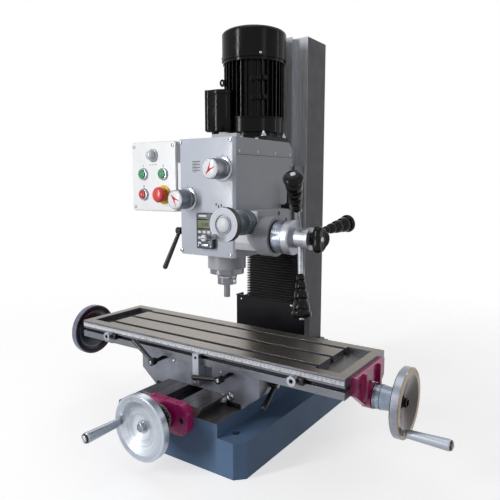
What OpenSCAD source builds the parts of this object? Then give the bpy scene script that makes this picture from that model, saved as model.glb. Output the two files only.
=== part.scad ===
/* [Base] */
// Length of the base from front to back
base_l = 590; // [580:5:640]
// Width of the base flange
base_w = 400; // [380:5:460]
// Height of the flange's top
flange_h = 84; // [80:1:87]
// Width of the raised way body
way_w = 272; // [266:2:290]
// Height of the flat ways
way_h = 116; // [112:1:120]
// Height of the dovetail above the flat ways
base_dove_h = 25; // [23:1:27]
// Width of the dovetail's top
base_dove_w = 184.6; // [176:2:190]
// Thickness of the base's walls
base_wall = 16; // [12:1:20]
// Radius of the mounting holes
mount_r = 9; // [7:0.5:10]
// Distance of the mounting holes from the sides
mount_in_x = 45; // [43:1:50]
// Distance of the mounting holes from the ends
mount_in_y = 44; // [41:1:55]

/* [Column] */
// Width of the column
col_w = 200; // [190:2:210]
// Depth of the column behind its front land
col_d = 108; // [104:1:116]
// Height of the column
col_h = 892; // [880:2:960]
// Wall of the column
col_wall = 14; // [11:1:16]
// Width of the front dovetail
col_dove_w = 128; // [120:2:132]
// Depth of the front dovetail
col_dove_d = 20; // [18:1:22]

/* [Saddle and table] */
// Width of the saddle
saddle_w = 370; // [350:5:380]
// Length of the saddle, front to back
saddle_l = 186; // [176:2:196]
// Height of the saddle
saddle_h = 90.4; // [88:0.4:94]
// Length of the table
table_l = 800; // [790:5:860]
// Width of the table
table_w = 220; // [214:2:230]
// Thickness of the table
table_t = 45.6; // [44:0.4:50]
// Width of a T-slot's neck
slot_w = 14; // [12:0.5:16]
// Distance between T-slots
slot_pitch = 70; // [66:1:72]
// Travel of the saddle to either side
y_travel = 88; // [60:2:88]

/* [Feed wheels] */
// Radius of the handwheels
wheel_r = 75; // [70:1:80]
// Thickness of a handwheel's rim
wheel_t = 19; // [17:1:22]
// Radius at which the crank pins stand
crank_r = 60; // [60:1:64]
// Length of a crank grip
grip_l = 93; // [80:1:110]
// Radius of the feed screws
screw_r = 10; // [9:0.5:11]

/* [Head] */
// Width of the head
head_w = 172; // [168:2:180]
// Depth of the head's housing
head_d = 260; // [256:2:262]
// Height of the head's underside above the floor
head_z = 461; // [455:1:500]
// Height of the head's housing
head_h = 245; // [243:1:252]
// Height of the gearbox cover
cover_h = 40; // [38:1:46]
// Wall of the head
head_wall = 10; // [8:1:11]
// Radius of the quill
quill_r = 37.5; // [36:0.5:39]
// Travel of the quill
quill_travel = 88; // [60:2:88]
// Radius of the tool shank
shank_r = 8; // [6:0.5:9]
// Lowest travel of the head
head_down = 80; // [40:5:80]
// Highest travel of the head
head_up = 300; // [200:5:300]

/* [Motor and switch box] */
// Radius over the motor's fan cowl
motor_r = 85.5; // [80:0.5:86]
// Height of the motor's finned body
motor_h = 153; // [140:1:180]
// Width of the switch box
panel_w = 161; // [150:1:180]
// Height of the switch box
panel_h = 182; // [170:1:200]
// Depth of the switch box
panel_d = 60; // [50:1:70]

/* [Downfeed] */
// Radius from the hub's axis to a grip's cap
spoke_r = 173; // [150:1:180]
// Radius of the spokes
spoke_rod_r = 5.5; // [4.5:0.5:6]
// Radius of the fine feed wheel
fine_r = 38; // [34:1:42]

/* [Hidden] */
$fn = 64;

// Colours
blue_c = "slategray";
grey_c = "dimgray";
ground_c = "darkgray";
steel_c = "silver";
bright_c = "gainsboro";
magenta_c = "mediumvioletred";
black_c = "black";
dark_c = "darkslategray";
bronze_c = "peru";
pale_c = "lightsteelblue";
white_c = "white";

// Clearances and the overrun of cuts
slip = 0.3;
fit = 0.05;
over = 1;

// Base
base_corner = 21;
base_roof = 12;
base_boss_r = 22;
base_root_w = 154;
pad_l = 170;
rail_gap = 48;
rail_floor_t = 4;
dove_z = way_h + base_dove_h;
pad_y = base_l / 2 - pad_l;
base_front = -base_l / 2;

// Column
col_inset = 22;
col_root_w = 105;
foot_t = 22;
foot_w = 250;
foot_bolt_x = 112;
foot_bolt_in = 19;
foot_bolt_r = 6;
foot_bolt_hole = 6.6;
foot_bolt_deep = 30;
bolt_head_r = 10;
bolt_head_t = 8;
col_back = base_l / 2 - col_inset;
col_y = col_back - col_d;
col_face = col_y - col_dove_d;
col_top = dove_z + col_h;

// Way cover
cover_w = 236;
cover_t = 4;
cover_top = 300;
cover_reach = 31.7;

// Elevation screw and crank
z_screw_r = 11;
journal_r = 8;
z_screw_y = col_y + col_d / 2;
z_foot_deep = 13;
crank_drop = 78;
z_crank_z = col_top - crank_drop;
bevel_m = 2.5;
bevel_n = 20;
bevel_r = bevel_m * bevel_n / 2;
bevel_t = 10;
bevel_hub_r = 17;
bevel_hub_t = 12;
bevel_thin = 0.9;
bevel_gap_share = 0.4;
bevel_tip_share = 0.75;
bevel_slim_share = 0.8;
crank_boss_r = 16;
crank_boss_t = 12;
arm_gap = 18;
arm_t = 12;
arm_r = 11;
arm_hub_r = 17;
arm_l = 65;
z_grip_l = 78;

// Saddle
table_y = -109;
saddle_z = way_h + slip;
saddle_top = saddle_z + saddle_h;
saddle_chamfer_z = 155;
gib_t = 6;
male_w = 100;
male_root_w = 84;
male_h = 14;
screw_lane = 32;
x_screw_drop = 21;
x_nut_l = 50;
y_nut_l = 40;
y_nut_w = 40;
y_screw_drop = 31;
y_screw_z = dove_z - y_screw_drop;
y_nut_under = 15;
table_z = saddle_top + slip;
table_top = table_z + table_t;
x_screw_z = table_z - x_screw_drop;
saddle_front = table_y - saddle_l / 2;

// Stop block and stops
stop_block_x = 15;
stop_block_w = 18;
stop_block_lo = 158;
stop_block_hi = 237;
stop_block_t = 14;
stop_block_seat = 200;
stop_screw_z = 178;
stop_screw_r = 4.5;
stop_screw_deep = 16;
stop_in = 114;
stop_x = table_l / 2 - stop_in;
stop_r = 11;
stop_l = 16;
stop_socket_r = 5;
stop_key_l = 28;
stop_key_in = 6;
groove_h = 9;
groove_d = 8;
groove_up = 21;
groove_z = table_z + groove_up;

// Clamp levers
lever_hub_r = 9;
lever_hub_l = 15;
lever_stand = 39;
lever_stud_r = 5;
lever_stud_deep = 14;
lever_l = 77;
lever_r = 6.4;
lever_root_r = 4.8;
lock_left_x = -101.5;
lock_right_x = 108;
lock_left_z = 198;
lock_right_z = 197;
lock_left_a = 147;
lock_right_a = 188;
side_lock_y = -150;
side_lock_z = 172;
side_lock_stand = 3;
side_lock_a = 52;
side_lock_l = 62;

// Table
trough_w = 59;
trough_end = 22;
trough_rim = 24;
trough_d = 14;
slot_d = 13;
tee_w = 24;
tee_h = 10;
tee_n = 3;
bracket_t = 12;
bracket_boss_t = 22;
bracket_boss_r = 29;
bracket_w = 160;
bracket_drop = 6.6;
bracket_rib_t = 10;
bracket_rib_out = 8;
bracket_rib_y = 40;
end_screw_r = 4;
end_screw_head_r = 6.5;
end_screw_head_t = 7;
end_screw_deep = 18;
end_screw_y = 62;
end_screw_z = 18;

// Feed screws and dials
collar_r = 14;
collar_t = 8;
spacer_r = 13;
spacer_t = 2;
dial_r = 27;
dial_t = 42;
dial_land_t = 16;
dial_end_r = 24;
y_dial_r = 30;
y_dial_t = 30;
y_bracket_t = 22;
y_bracket_w = 138;
y_bracket_h = 72;
y_bracket_corner = 24;
y_bracket_boss_r = 21;
y_bracket_boss_t = 5;
y_bracket_screw_x = 52;
y_spacer_t = 3;
y_screw_spare = 61;
y_screw_end = table_y + y_nut_l / 2 + y_travel + y_screw_spare;
wheel_face_right = 97;
wheel_face_left = 105;
wheel_face_front = 103;
wheel_edge = 2;
dish_r = 60;
dish_d = 13;
dish_eye_r = 14;
back_r = 60;
back_d = 6;
wheel_hub_r = 20;
wheel_nut_r = 9;
wheel_nut_t = 9;
pin_r = 4;
pin_head_r = 7;
pin_head_t = 3;
pin_sunk = 12;
grip_root_r = 9.2;
grip_end_r = 12;
grip_neck_r = 7;
grip_neck_l = 5;
grip_round = 3;
right_crank_a = -32;
left_crank_a = 115;
front_crank_a = 180;

// Head slide and bellows
slide_w = 186;
slide_d = 53.4;
slide_under = 21;
slide_h = 246;
lug_w = 24;
lug_z = 72;
lug_h = 60;
lug_gap = 3;
nut_half = 26;
slot_end = 23;
tilt_z = 139;
spigot_r = 40;
spigot_l = 12;
slide_back = col_y - slip;
slide_front = slide_back - slide_d;
slide_z = head_z - slide_under;
lug_lo = head_z + lug_z;
bellows_w = 164;
bellows_reach = 34.7;
bellows_front = slide_back - bellows_reach;
cover_y = slide_back - cover_reach;
bellows_fold = 8;
bellows_t = 2;
bellows_n = 12;

// Head
head_back = slide_front - slip;
head_front = head_back - head_d;
head_top = head_z + head_h;
rear_wall = 14;
plate_t = 8;
plate_ring_r = 27;
plate_ring_t = 3;
quill_in = 75;
spindle_y = head_front + quill_in;
guide_wall = 11.5;
guide_r = quill_r + guide_wall;
boss_h = 39;
guide_top = 167;
shelf_t = 12;
shelf_z = head_z + guide_top;
cover_roof = 12;
cover_top_z = head_top + cover_h;
cover_chamfer = 18;
step_h = 8;
step_x = 13;
step_l = 90;

// Gears of the drive
gear_m = 2;
pressure = 20;
tooth_thin = 0.25;
dedendum_share = 1.25;
motor_n = 21;
lay_big_n = 42;
lay_small_n = 22;
sleeve_n = 40;
lay_y = spindle_y + gear_m * (lay_small_n + sleeve_n) / 2;
motor_y = lay_y + gear_m * (motor_n + lay_big_n) / 2;
lay_r = 10;
sleeve_r = 16;
spline_r = 12;
spline_root_r = 10;
spline_w = 4;
spline_n = 6;
spline_gap = 0.2;
low_gear_up = 15;
low_gear_t = 18;
high_gear_up = 48;
high_gear_t = 16;
gear_extra = 2;
lay_bearing_r = 19;
sleeve_bearing_r = 26;
bearing_t = 12;
bearing_wall = 6;
bearing_up = 10;

// Quill and spindle
cap_r = 44;
cap_t = 14;
quill_h = 200;
spindle_r = 17;
spindle_bore_gap = 5;
spindle_bearing_r = 29;
spindle_bearing_t = 16;
bearing_inset = 8;
nose_r = 24.5;
nose_h = 28;
shank_out = 35;
arbor_in = 58;
arbor_r = 10;
spline_spare = 18;
spindle_over = quill_travel + spline_spare;
rack_m = 2;
rack_line = 35.5;
rack_w = 22;
rack_below = 2;
rack_above = 15;
pinion_n = 17;
pinion_w = 20;
feed_up = 56;
feed_z = head_z + feed_up;
pinion_r = rack_m * pinion_n / 2;
feed_y = spindle_y - rack_line - pinion_r;
quill_z = head_z - boss_h;

// Downfeed
feed_r = 12;
bush_r = 16;
bush_l = 16;
lug_x = 24;
feed_block_w = 62.7;
feed_block_l = 142;
feed_block_lo = 23;
feed_block_h = 91;
feed_block_cut = 26;
feed_boss_r = 46;
feed_boss_l = 35;
feed_cone_r = 30;
feed_cone_l = 30;
feed_dial_r = 37;
feed_dial_l = 28;
feed_flange_r = 39.5;
feed_flange_l = 17;
feed_flange_edge = 3;
feed_hub_r = 22.5;
feed_hub_l = 41;
feed_gap = 1;
hub_ring_r = 25;
hub_ring_l = 8;
star_neck_r = 15;
star_neck_l = 10;
star_l = 21;
star_r = 33;
star_core_r = 21;
star_lobe_r = 11;
star_n = 3;
spoke_n = 3;
spoke_first = 8.2;
spoke_root = 12;
spoke_out = 42;
spoke_in = 6;
spoke_from = 16;
grip_from = 84;
// Steps along a downfeed grip and their radii, as shares of its length and of its cap's radius
grip_step_shares = [0, 0.2, 0.42, 0.62, 0.79, 1];
grip_radius_shares = [0.36, 0.47, 0.58, 0.68, 0.76];
grip_waist_share = 0.8;
grip_cap_r = 21;
grip_cap_t = 15;
grip_core_r = 9.5;
feed_block_x = head_w / 2 + slip;
feed_block_end = feed_block_x + feed_block_w;
feed_boss_end = feed_block_end + feed_boss_l;
feed_dial_x = feed_boss_end + feed_gap;
flange_x = feed_dial_x + feed_dial_l + feed_gap;
hub_x = flange_x + feed_flange_l;
star_x = hub_x + feed_hub_l + feed_gap;
spoke_x = hub_x + spoke_root;
spoke_tilt = atan(spoke_out / spoke_r);
spoke_len = sqrt(pow(spoke_out, 2) + pow(spoke_r, 2));

// Fine feed
worm_m = 1.5;
worm_n = 30;
worm_r = 9.5;
worm_l = 30;
worm_core_r = 7.4;
worm_turns = 5.5;
worm_tip_share = 0.9;
worm_half_share = 0.25;
thread_steps = 20;
worm_root_share = 1.1;
worm_gap_share = 0.36;
worm_foot_share = 0.24;
worm_top_share = 0.08;
worm_height_share = 0.8;
worm_pitch = PI * worm_m;
worm_wheel_t = 8;
worm_room = 2;
worm_shaft_r = 6.5;
worm_tail = 30;
worm_head = 34.7;
fine_dial_r = 28;
fine_dial_l = 28;
fine_neck_r = 19;
fine_neck_l = 46.7;
fine_t = 16;
fine_lip_r = 22;
fine_lip_d = 3;
fine_grip_l = 40;
fine_grip_r = 8;
fine_grip_root_r = 5.5;
fine_grip_x = -23;
fine_grip_z = -27;
worm_wheel_r = worm_m * worm_n / 2;
worm_x = feed_block_x + worm_head;
worm_z = feed_z + worm_wheel_r + worm_r;

// Knobs
knob_r = 24;
knob_l = 46;
knob_face_in = 1.5;
knob_shaft_r = 6;
knob_shaft_l = 17;
range_x = 50;
range_up = 211;
speed_x = -58;
speed_up = 138;

// Depth readout
readout_x = 4;
readout_w = 50;
readout_h = 87;
readout_t = 13;
readout_up = 19;
readout_corner = 3;

// Motor
motor_plate_t = 11;
motor_plate_w = 166;
motor_neck_r = 62;
motor_neck_t = 13;
bell_r = 79;
bell_t = 39;
body_r = 71;
fin_r = 80;
fin_t = 2.6;
fin_n = 36;
shield_t = 14;
shield_in = 2.8;
stator_r = 46;
rotor_r = 45;
rotor_shaft_r = 10;
rotor_in = 12;
cowl_h = 80;
cowl_t = 2.5;
cowl_round = 14;
cowl_slope = 1.75;
cowl_hole_r = 4;
cowl_ring_share = 0.3;
cowl_rings = 2;
cowl_ring_n = 8;
fan_r = 66;
fan_t = 20;
fan_up = 14;
fan_blade_t = 3;
fan_n = 7;
fan_hub_r = 18;
capacitor_w = 63;
capacitor_d = 59;
capacitor_h = 106;
capacitor_x = -12;
capacitor_out = 113;
capacitor_y = motor_y - capacitor_out;
capacitor_corner = 14;
motor_plate_z = cover_top_z;
bell_z = motor_plate_z + motor_plate_t + motor_neck_t;
body_z = bell_z + bell_t;
body_top = body_z + motor_h;

// Switch box
panel_gap = 32;
panel_in = 19;
panel_front = head_front + panel_in;
panel_up = 103;
panel_corner = 8;
panel_wall = 3;
panel_arm_h = 70;
panel_arm_d = 26;
panel_x = -head_w / 2 - panel_gap - panel_w;
panel_z = head_z + panel_up;
button_r = 11;
button_out = 9;
button_stem_r = 6;
button_stem_l = 12;
button_gap = 0.2;
button_stroke = 4;
bezel_r = 14;
bezel_h = 5;
button_dx = 36;
button_dz = 27;
button_up = 71;
stop_cap_r = 20;
stop_cap_t = 14;
stop_stand = 16;

// Quill lock and head clamp
quill_lock_in = 9;
quill_lock_y = head_front + quill_lock_in;
quill_lock_up = 56;
quill_lock_stand = 8;
quill_lock_a = 24;
quill_lock_l = 100;
quill_lock_lean = 9;
clamp_in = 53;
clamp_y = head_back - clamp_in;
clamp_up = 116;
clamp_l = 49;
clamp_stand = 12;
clamp_r = 4.5;

// Block between two opposite corners
module block(lo, hi) translate(lo) cube(hi - lo);

// Round bars along X, Y and Z
module rod_x(x0, x1, y, z, r) translate([x0, y, z]) rotate([0, 90, 0]) cylinder(r = r, h = x1 - x0);
module rod_y(y0, y1, x, z, r) translate([x, y1, z]) rotate([90, 0, 0]) cylinder(r = r, h = y1 - y0);
module rod_z(z0, z1, x, y, r) translate([x, y, z0]) cylinder(r = r, h = z1 - z0);

// Rings along X and Z
module ring_x(x0, x1, y, z, r, hole) difference() {
    rod_x(x0, x1, y, z, r);
    rod_x(x0 - over, x1 + over, y, z, hole);
}
module ring_z(z0, z1, x, y, r, hole) difference() {
    rod_z(z0, z1, x, y, r);
    rod_z(z0 - over, z1 + over, x, y, hole);
}

// Outlines drawn in (y, z) or (x, z), drawn out along X or Y
module along_x(x0, x1) translate([x0, 0, 0]) rotate([90, 0, 90]) linear_extrude(x1 - x0) children();
module along_y(y0, y1) translate([0, y1, 0]) rotate([90, 0, 0]) linear_extrude(y1 - y0) children();

// Turned shapes whose own +Z looks right, left or to the front
module face_right(x, y, z) translate([x, y, z]) rotate([0, 90, 0]) children();
module face_left(x, y, z) translate([x, y, z]) rotate([0, -90, 0]) children();
module face_front(x, y, z) translate([x, y, z]) rotate([90, 0, 0]) children();

// Flat outlines
module rounded_square(w, h, r) {
    square([w - 2 * r, h], center = true);
    square([w, h - 2 * r], center = true);
    for (x = [-1, 1], y = [-1, 1]) translate([x * (w / 2 - r), y * (h / 2 - r)]) circle(r);
}
module chamfered_square(w, l, c) polygon([
    [-w / 2 + c, -l / 2], [w / 2 - c, -l / 2], [w / 2, -l / 2 + c], [w / 2, l / 2 - c],
    [w / 2 - c, l / 2], [-w / 2 + c, l / 2], [-w / 2, l / 2 - c], [-w / 2, -l / 2 + c]]);
module dovetail(root, top, lo, hi)
    polygon([[-root, lo - over], [root, lo - over], [root, lo], [top, hi], [-top, hi], [-root, lo]]);

// Involute teeth: the angle of the involute, half a tooth's angle at a radius, and one flank
function involute(a) = tan(a) * 180 / PI - a;
function half_tooth(n, rb, r, thin, rp) =
    90 / n - thin / rp * 90 / PI + involute(pressure) - involute(acos(min(1, rb / r)));
function polar(r, a) = [r * cos(a), r * sin(a)];
function flank_radii(m, n) = let (rp = m * n / 2, root = rp - dedendum_share * m,
    lo = max(rp * cos(pressure), root), tip = rp + m)
    [root, lo, lo + (tip - lo) / 3, lo + (tip - lo) * 2 / 3, tip];
function tooth(m, n, i, thin) = let (rp = m * n / 2, rb = rp * cos(pressure), rs = flank_radii(m, n))
    concat(
        [for (r = rs) polar(r, i * 360 / n - half_tooth(n, rb, max(r, rb), thin, rp))],
        [for (k = [len(rs) - 1:-1:0])
            polar(rs[k], i * 360 / n + half_tooth(n, rb, max(rs[k], rb), thin, rp))]);
module gear_outline(m, n, thin) polygon([for (i = [0:n - 1]) each tooth(m, n, i, thin)]);
module spur_gear(m, n, z0, z1, y, turn) translate([0, y, z0]) rotate(turn) linear_extrude(z1 - z0)
    gear_outline(m, n, tooth_thin);

// Bevel gear of 45 degrees with its wide end at zero, narrowing along its own +Z
module bevel_gear() {
    linear_extrude(bevel_t, scale = (bevel_r - bevel_t) / bevel_r) polygon([for (i = [0:bevel_n - 1]) each [
        polar(bevel_r - bevel_m, (i - bevel_gap_share) * 360 / bevel_n),
        polar(bevel_r - bevel_m, (i - bevel_half_share(bevel_r)) * 360 / bevel_n),
        polar(bevel_r + bevel_m * bevel_tip_share, (i - bevel_half_share(bevel_r) / 2) * 360 / bevel_n),
        polar(bevel_r + bevel_m * bevel_tip_share, (i + bevel_half_share(bevel_r) / 2) * 360 / bevel_n),
        polar(bevel_r - bevel_m, (i + bevel_half_share(bevel_r)) * 360 / bevel_n)]]);
    translate([0, 0, -bevel_hub_t]) cylinder(r = bevel_hub_r, h = bevel_hub_t);
}
function bevel_half_share(r) = (PI * bevel_m / 2 - bevel_thin) / (2 * PI * r) * bevel_n * bevel_slim_share;

// Screw thread wound round its own Z axis, sunk into a core of radius lo
function thread_ring(lo, hi, half, pitch, i) = let (a = i * 360 / thread_steps,
    z = pitch * i / thread_steps) [
    [lo * cos(a), lo * sin(a), z - half], [hi * cos(a), hi * sin(a), z - half / 2],
    [hi * cos(a), hi * sin(a), z + half / 2], [lo * cos(a), lo * sin(a), z + half]];
module thread(lo, hi, half, pitch, turns) {
    n = floor(turns * thread_steps);
    polyhedron(
        points = [for (i = [0:n]) each thread_ring(lo, hi, half, pitch, i)],
        faces = concat(
            [[0, 2, 1], [0, 3, 2]],
            [for (i = [0:n - 1], k = [0:3]) each let (a = 4 * i + k, b = 4 * i + (k + 1) % 4)
                [[a, b, a + 4], [b, b + 4, a + 4]]],
            [[4 * n, 4 * n + 1, 4 * n + 2], [4 * n, 4 * n + 2, 4 * n + 3]]));
}

// Base casting: hollow flange, way body with its dovetail rails and a pad under the column
module base() color(blue_c) difference() {
    union() {
        linear_extrude(flange_h) chamfered_square(base_w, base_l, base_corner);
        block([-way_w / 2, base_front, 0], [way_w / 2, base_l / 2, way_h]);
        along_y(base_front, pad_y) dovetail(base_root_w / 2, base_dove_w / 2, way_h, dove_z);
        block([-way_w / 2, pad_y, 0], [way_w / 2, base_l / 2, dove_z]);
    }
    difference() {
        block([-base_w / 2 + base_wall, base_front + base_wall, -over],
            [base_w / 2 - base_wall, base_l / 2 - base_wall, flange_h - base_roof]);
        mount_places() cylinder(r = base_boss_r, h = flange_h);
    }
    mount_places() translate([0, 0, -over]) cylinder(r = mount_r, h = flange_h + 2 * over);
    block([-rail_gap / 2, base_front - over, flange_h + rail_floor_t],
        [rail_gap / 2, pad_y - base_wall, dove_z + over]);
    foot_bolts() translate([0, 0, dove_z - foot_bolt_deep])
        cylinder(r = foot_bolt_r + fit, h = foot_bolt_deep + over);
    rod_z(dove_z - z_foot_deep, dove_z + over, 0, z_screw_y, journal_r + fit);
    bracket_screws() rod_y(base_front - over, base_front + end_screw_deep, 0, 0, end_screw_r + fit);
}
module mount_places() for (x = [-1, 1], y = [-1, 1])
    translate([x * (base_w / 2 - mount_in_x), y * (base_l / 2 - mount_in_y), 0]) children();
module foot_bolts() for (x = [-1, 1], y = [col_y + foot_bolt_in, col_back - foot_bolt_in])
    translate([x * foot_bolt_x, y, 0]) children();
module bracket_screws() for (x = [-1, 1]) translate([x * y_bracket_screw_x, 0, y_screw_z]) children();

// Hollow column with its dovetail, foot flange, screw slot and crank boss
module column() color(grey_c) difference() {
    union() {
        block([-col_w / 2, col_y, dove_z], [col_w / 2, col_back, col_top]);
        translate([0, 0, dove_z]) linear_extrude(col_h) polygon([
            [-col_root_w / 2, col_y + over], [-col_root_w / 2, col_y], [-col_dove_w / 2, col_face],
            [col_dove_w / 2, col_face], [col_root_w / 2, col_y], [col_root_w / 2, col_y + over]]);
        block([-foot_w / 2, col_y, dove_z], [foot_w / 2, col_back, dove_z + foot_t]);
        rod_x(-col_w / 2 - crank_boss_t, 0, z_screw_y, z_crank_z, crank_boss_r);
    }
    block([-col_w / 2 + col_wall, col_y + col_wall, dove_z - over],
        [col_w / 2 - col_wall, col_back - col_wall, col_top - col_wall]);
    block([-lug_w / 2 - lug_gap, col_face - over, lug_lo - head_down - slot_end],
        [lug_w / 2 + lug_gap, col_y + col_wall + over, lug_lo + lug_h + head_up + slot_end]);
    foot_bolts() rod_z(dove_z - over, dove_z + foot_t + over, 0, 0, foot_bolt_hole);
    rod_z(col_top - 2 * col_wall, col_top + over, 0, z_screw_y, journal_r + fit);
    rod_x(-col_w, 0, z_screw_y, z_crank_z, journal_r + fit);
}

// Hex bolts at the column's foot and socket screws of the front bracket
module column_bolts() color(dark_c) {
    foot_bolts() {
        rod_z(dove_z - foot_bolt_deep + over, dove_z + foot_t, 0, 0, foot_bolt_r);
        translate([0, 0, dove_z + foot_t]) cylinder(r = bolt_head_r, h = bolt_head_t, $fn = 6);
    }
    bracket_screws() socket_screw();
}
module socket_screw() difference() {
    neck = base_front - y_bracket_t + end_screw_head_t;
    union() {
        rod_y(neck, base_front + end_screw_deep - over, 0, 0, end_screw_r);
        rod_y(base_front - y_bracket_t, neck, 0, 0, end_screw_head_r);
    }
    face_front(0, neck - end_screw_head_t / 2, 0)
        cylinder(r = end_screw_head_r / 2, h = end_screw_head_t, $fn = 6);
}

// Bracket that carries the cross feed screw
module front_bracket() color(magenta_c) difference() {
    union() {
        along_y(base_front - y_bracket_t, base_front) translate([0, y_screw_z])
            rounded_square(y_bracket_w, y_bracket_h, y_bracket_corner);
        rod_y(base_front - y_bracket_t - y_bracket_boss_t, base_front, 0, y_screw_z, y_bracket_boss_r);
    }
    rod_y(base_front - base_l, base_front + over, 0, y_screw_z, journal_r + fit);
    bracket_screws() {
        rod_y(base_front - y_bracket_t - over, base_front + over, 0, 0, end_screw_r + slip);
        rod_y(base_front - y_bracket_t - over, base_front - y_bracket_t + end_screw_head_t, 0, 0,
            end_screw_head_r + slip);
    }
}

// Chip plate behind the table, folded back to the column at both sides
module way_cover() color(black_c) difference() {
    block([-cover_w / 2, cover_y, dove_z], [cover_w / 2, slide_back, cover_top]);
    block([-cover_w / 2 + cover_t, cover_y + cover_t, dove_z - over],
        [cover_w / 2 - cover_t, slide_back + over, cover_top + over]);
}

// Elevation screw with its bevel gear
module z_screw() color(steel_c) {
    rod_z(dove_z - z_foot_deep + slip, dove_z + z_foot_deep, 0, z_screw_y, journal_r);
    rod_z(dove_z + slip, z_crank_z - bevel_r, 0, z_screw_y, z_screw_r);
    rod_z(z_crank_z - bevel_r, col_top - over, 0, z_screw_y, journal_r);
    translate([0, z_screw_y, z_crank_z - bevel_r]) bevel_gear();
}

// Elevation crank: bevel pinion, shaft, arm and grip
module z_crank() color(steel_c) {
    arm_x = -col_w / 2 - crank_boss_t - arm_gap;
    face_right(-bevel_r, z_screw_y, z_crank_z) rotate(180 / bevel_n) bevel_gear();
    rod_x(-col_w / 2 - crank_boss_t - arm_gap, -bevel_r, z_screw_y, z_crank_z, journal_r);
    rod_x(arm_x - arm_t, -col_w / 2 - crank_boss_t - slip, z_screw_y, z_crank_z, arm_hub_r);
    block([arm_x - arm_t, z_screw_y - arm_r, z_crank_z - arm_l], [arm_x, z_screw_y + arm_r, z_crank_z]);
    rod_x(arm_x - arm_t, arm_x, z_screw_y, z_crank_z - arm_l, arm_r);
    rod_x(arm_x - arm_t - z_grip_l, arm_x - arm_t, z_screw_y, z_crank_z - arm_l, arm_r);
}

// Saddle: channel over the base's dovetail, lane of the long feed screw and the table's dovetail
module saddle() color(ground_c) difference() {
    union() {
        along_y(saddle_front, saddle_front + saddle_l) polygon([
            [-saddle_w / 2, saddle_top], [-saddle_w / 2, saddle_chamfer_z], [-way_w / 2, saddle_z],
            [way_w / 2, saddle_z], [saddle_w / 2, saddle_chamfer_z], [saddle_w / 2, saddle_top]]);
        along_x(-saddle_w / 2, saddle_w / 2) translate([table_y, 0])
            dovetail(male_root_w / 2, male_w / 2, saddle_top, saddle_top + male_h);
    }
    along_y(saddle_front - over, saddle_front + saddle_l + over) polygon([
        [-base_root_w / 2 - slip, way_h], [base_root_w / 2 + gib_t, way_h],
        [base_dove_w / 2 + gib_t, dove_z + slip], [-base_dove_w / 2 - slip, dove_z + slip]]);
    block([-saddle_w, table_y - screw_lane / 2, x_screw_z - screw_lane / 2 + gib_t / 2],
        [saddle_w, table_y + screw_lane / 2, saddle_top + male_h + over]);
    table_locks() rod_y(saddle_front - over, saddle_front + lever_stud_deep + over, 0, 0, lever_stud_r + fit);
    rod_x(saddle_w / 2 - lever_stud_deep, saddle_w / 2 + over, side_lock_y, side_lock_z, lever_stud_r + fit);
    rod_y(saddle_front - over, saddle_front + stop_screw_deep + over,
        stop_block_x + stop_block_w / 2, stop_screw_z, stop_screw_r + fit);
}
module table_locks() {
    translate([lock_left_x, 0, lock_left_z]) children();
    translate([lock_right_x, 0, lock_right_z]) children();
}

// Feed nuts of both screws and the gib between the saddle and the base
module feed_nuts() color(bronze_c) {
    difference() {
        block([-x_nut_l / 2, table_y - screw_lane / 2 + slip, x_screw_z - screw_lane / 2 + gib_t / 2],
            [x_nut_l / 2, table_y + screw_lane / 2 - slip, saddle_top]);
        rod_x(-x_nut_l, x_nut_l, table_y, x_screw_z, screw_r + fit);
    }
    difference() {
        block([-y_nut_w / 2, table_y - y_nut_l / 2, y_screw_z - y_nut_under],
            [y_nut_w / 2, table_y + y_nut_l / 2, dove_z + slip]);
        rod_y(table_y - y_nut_l, table_y + y_nut_l, 0, y_screw_z, screw_r + fit);
    }
    along_y(saddle_front, saddle_front + saddle_l) polygon([
        [base_root_w / 2 + slip, way_h + slip], [base_root_w / 2 + gib_t - slip, way_h + slip],
        [base_dove_w / 2 + gib_t - slip, dove_z], [base_dove_w / 2 + slip, dove_z]]);
}

// Centre block that the table's stops meet, with its socket screw
module stop_block() color(bright_c) {
    x = stop_block_x + stop_block_w / 2;
    out = table_y - table_w / 2 - slip - stop_block_t;
    difference() {
        union() {
            block([stop_block_x, out, stop_block_lo],
                [stop_block_x + stop_block_w, table_y - table_w / 2 - slip, stop_block_hi]);
            block([stop_block_x, out, stop_block_lo],
                [stop_block_x + stop_block_w, saddle_front, stop_block_seat]);
        }
        rod_y(out - over, out + stop_screw_deep / 2, x, stop_screw_z, stop_screw_r);
    }
    rod_y(saddle_front - over, saddle_front + stop_screw_deep, x, stop_screw_z, stop_screw_r);
}

// Clamp lever about its own Z axis: stud at the back, hub, and an arm along X
module clamp_lever(stand, arm, r, lean) {
    translate([0, 0, -lever_stud_deep]) cylinder(r = lever_stud_r, h = lever_stud_deep + stand);
    translate([0, 0, stand]) cylinder(r = lever_hub_r, h = lever_hub_l);
    translate([0, 0, stand + lever_hub_l / 2]) rotate([0, 90 - lean, 0]) {
        cylinder(r1 = lever_root_r, r2 = r, h = arm);
        translate([0, 0, arm]) sphere(r);
    }
}
module table_lock_left() color(black_c) face_front(lock_left_x, saddle_front, lock_left_z)
    rotate(lock_left_a) clamp_lever(lever_stand, lever_l, lever_r, 0);
module table_lock_right() color(black_c) face_front(lock_right_x, saddle_front, lock_right_z)
    rotate(lock_right_a) clamp_lever(lever_stand, lever_l, lever_r, 0);
module saddle_lock() color(black_c) face_right(saddle_w / 2, side_lock_y, side_lock_z)
    rotate(-side_lock_a) clamp_lever(side_lock_stand, side_lock_l, lever_r, 0);

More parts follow.
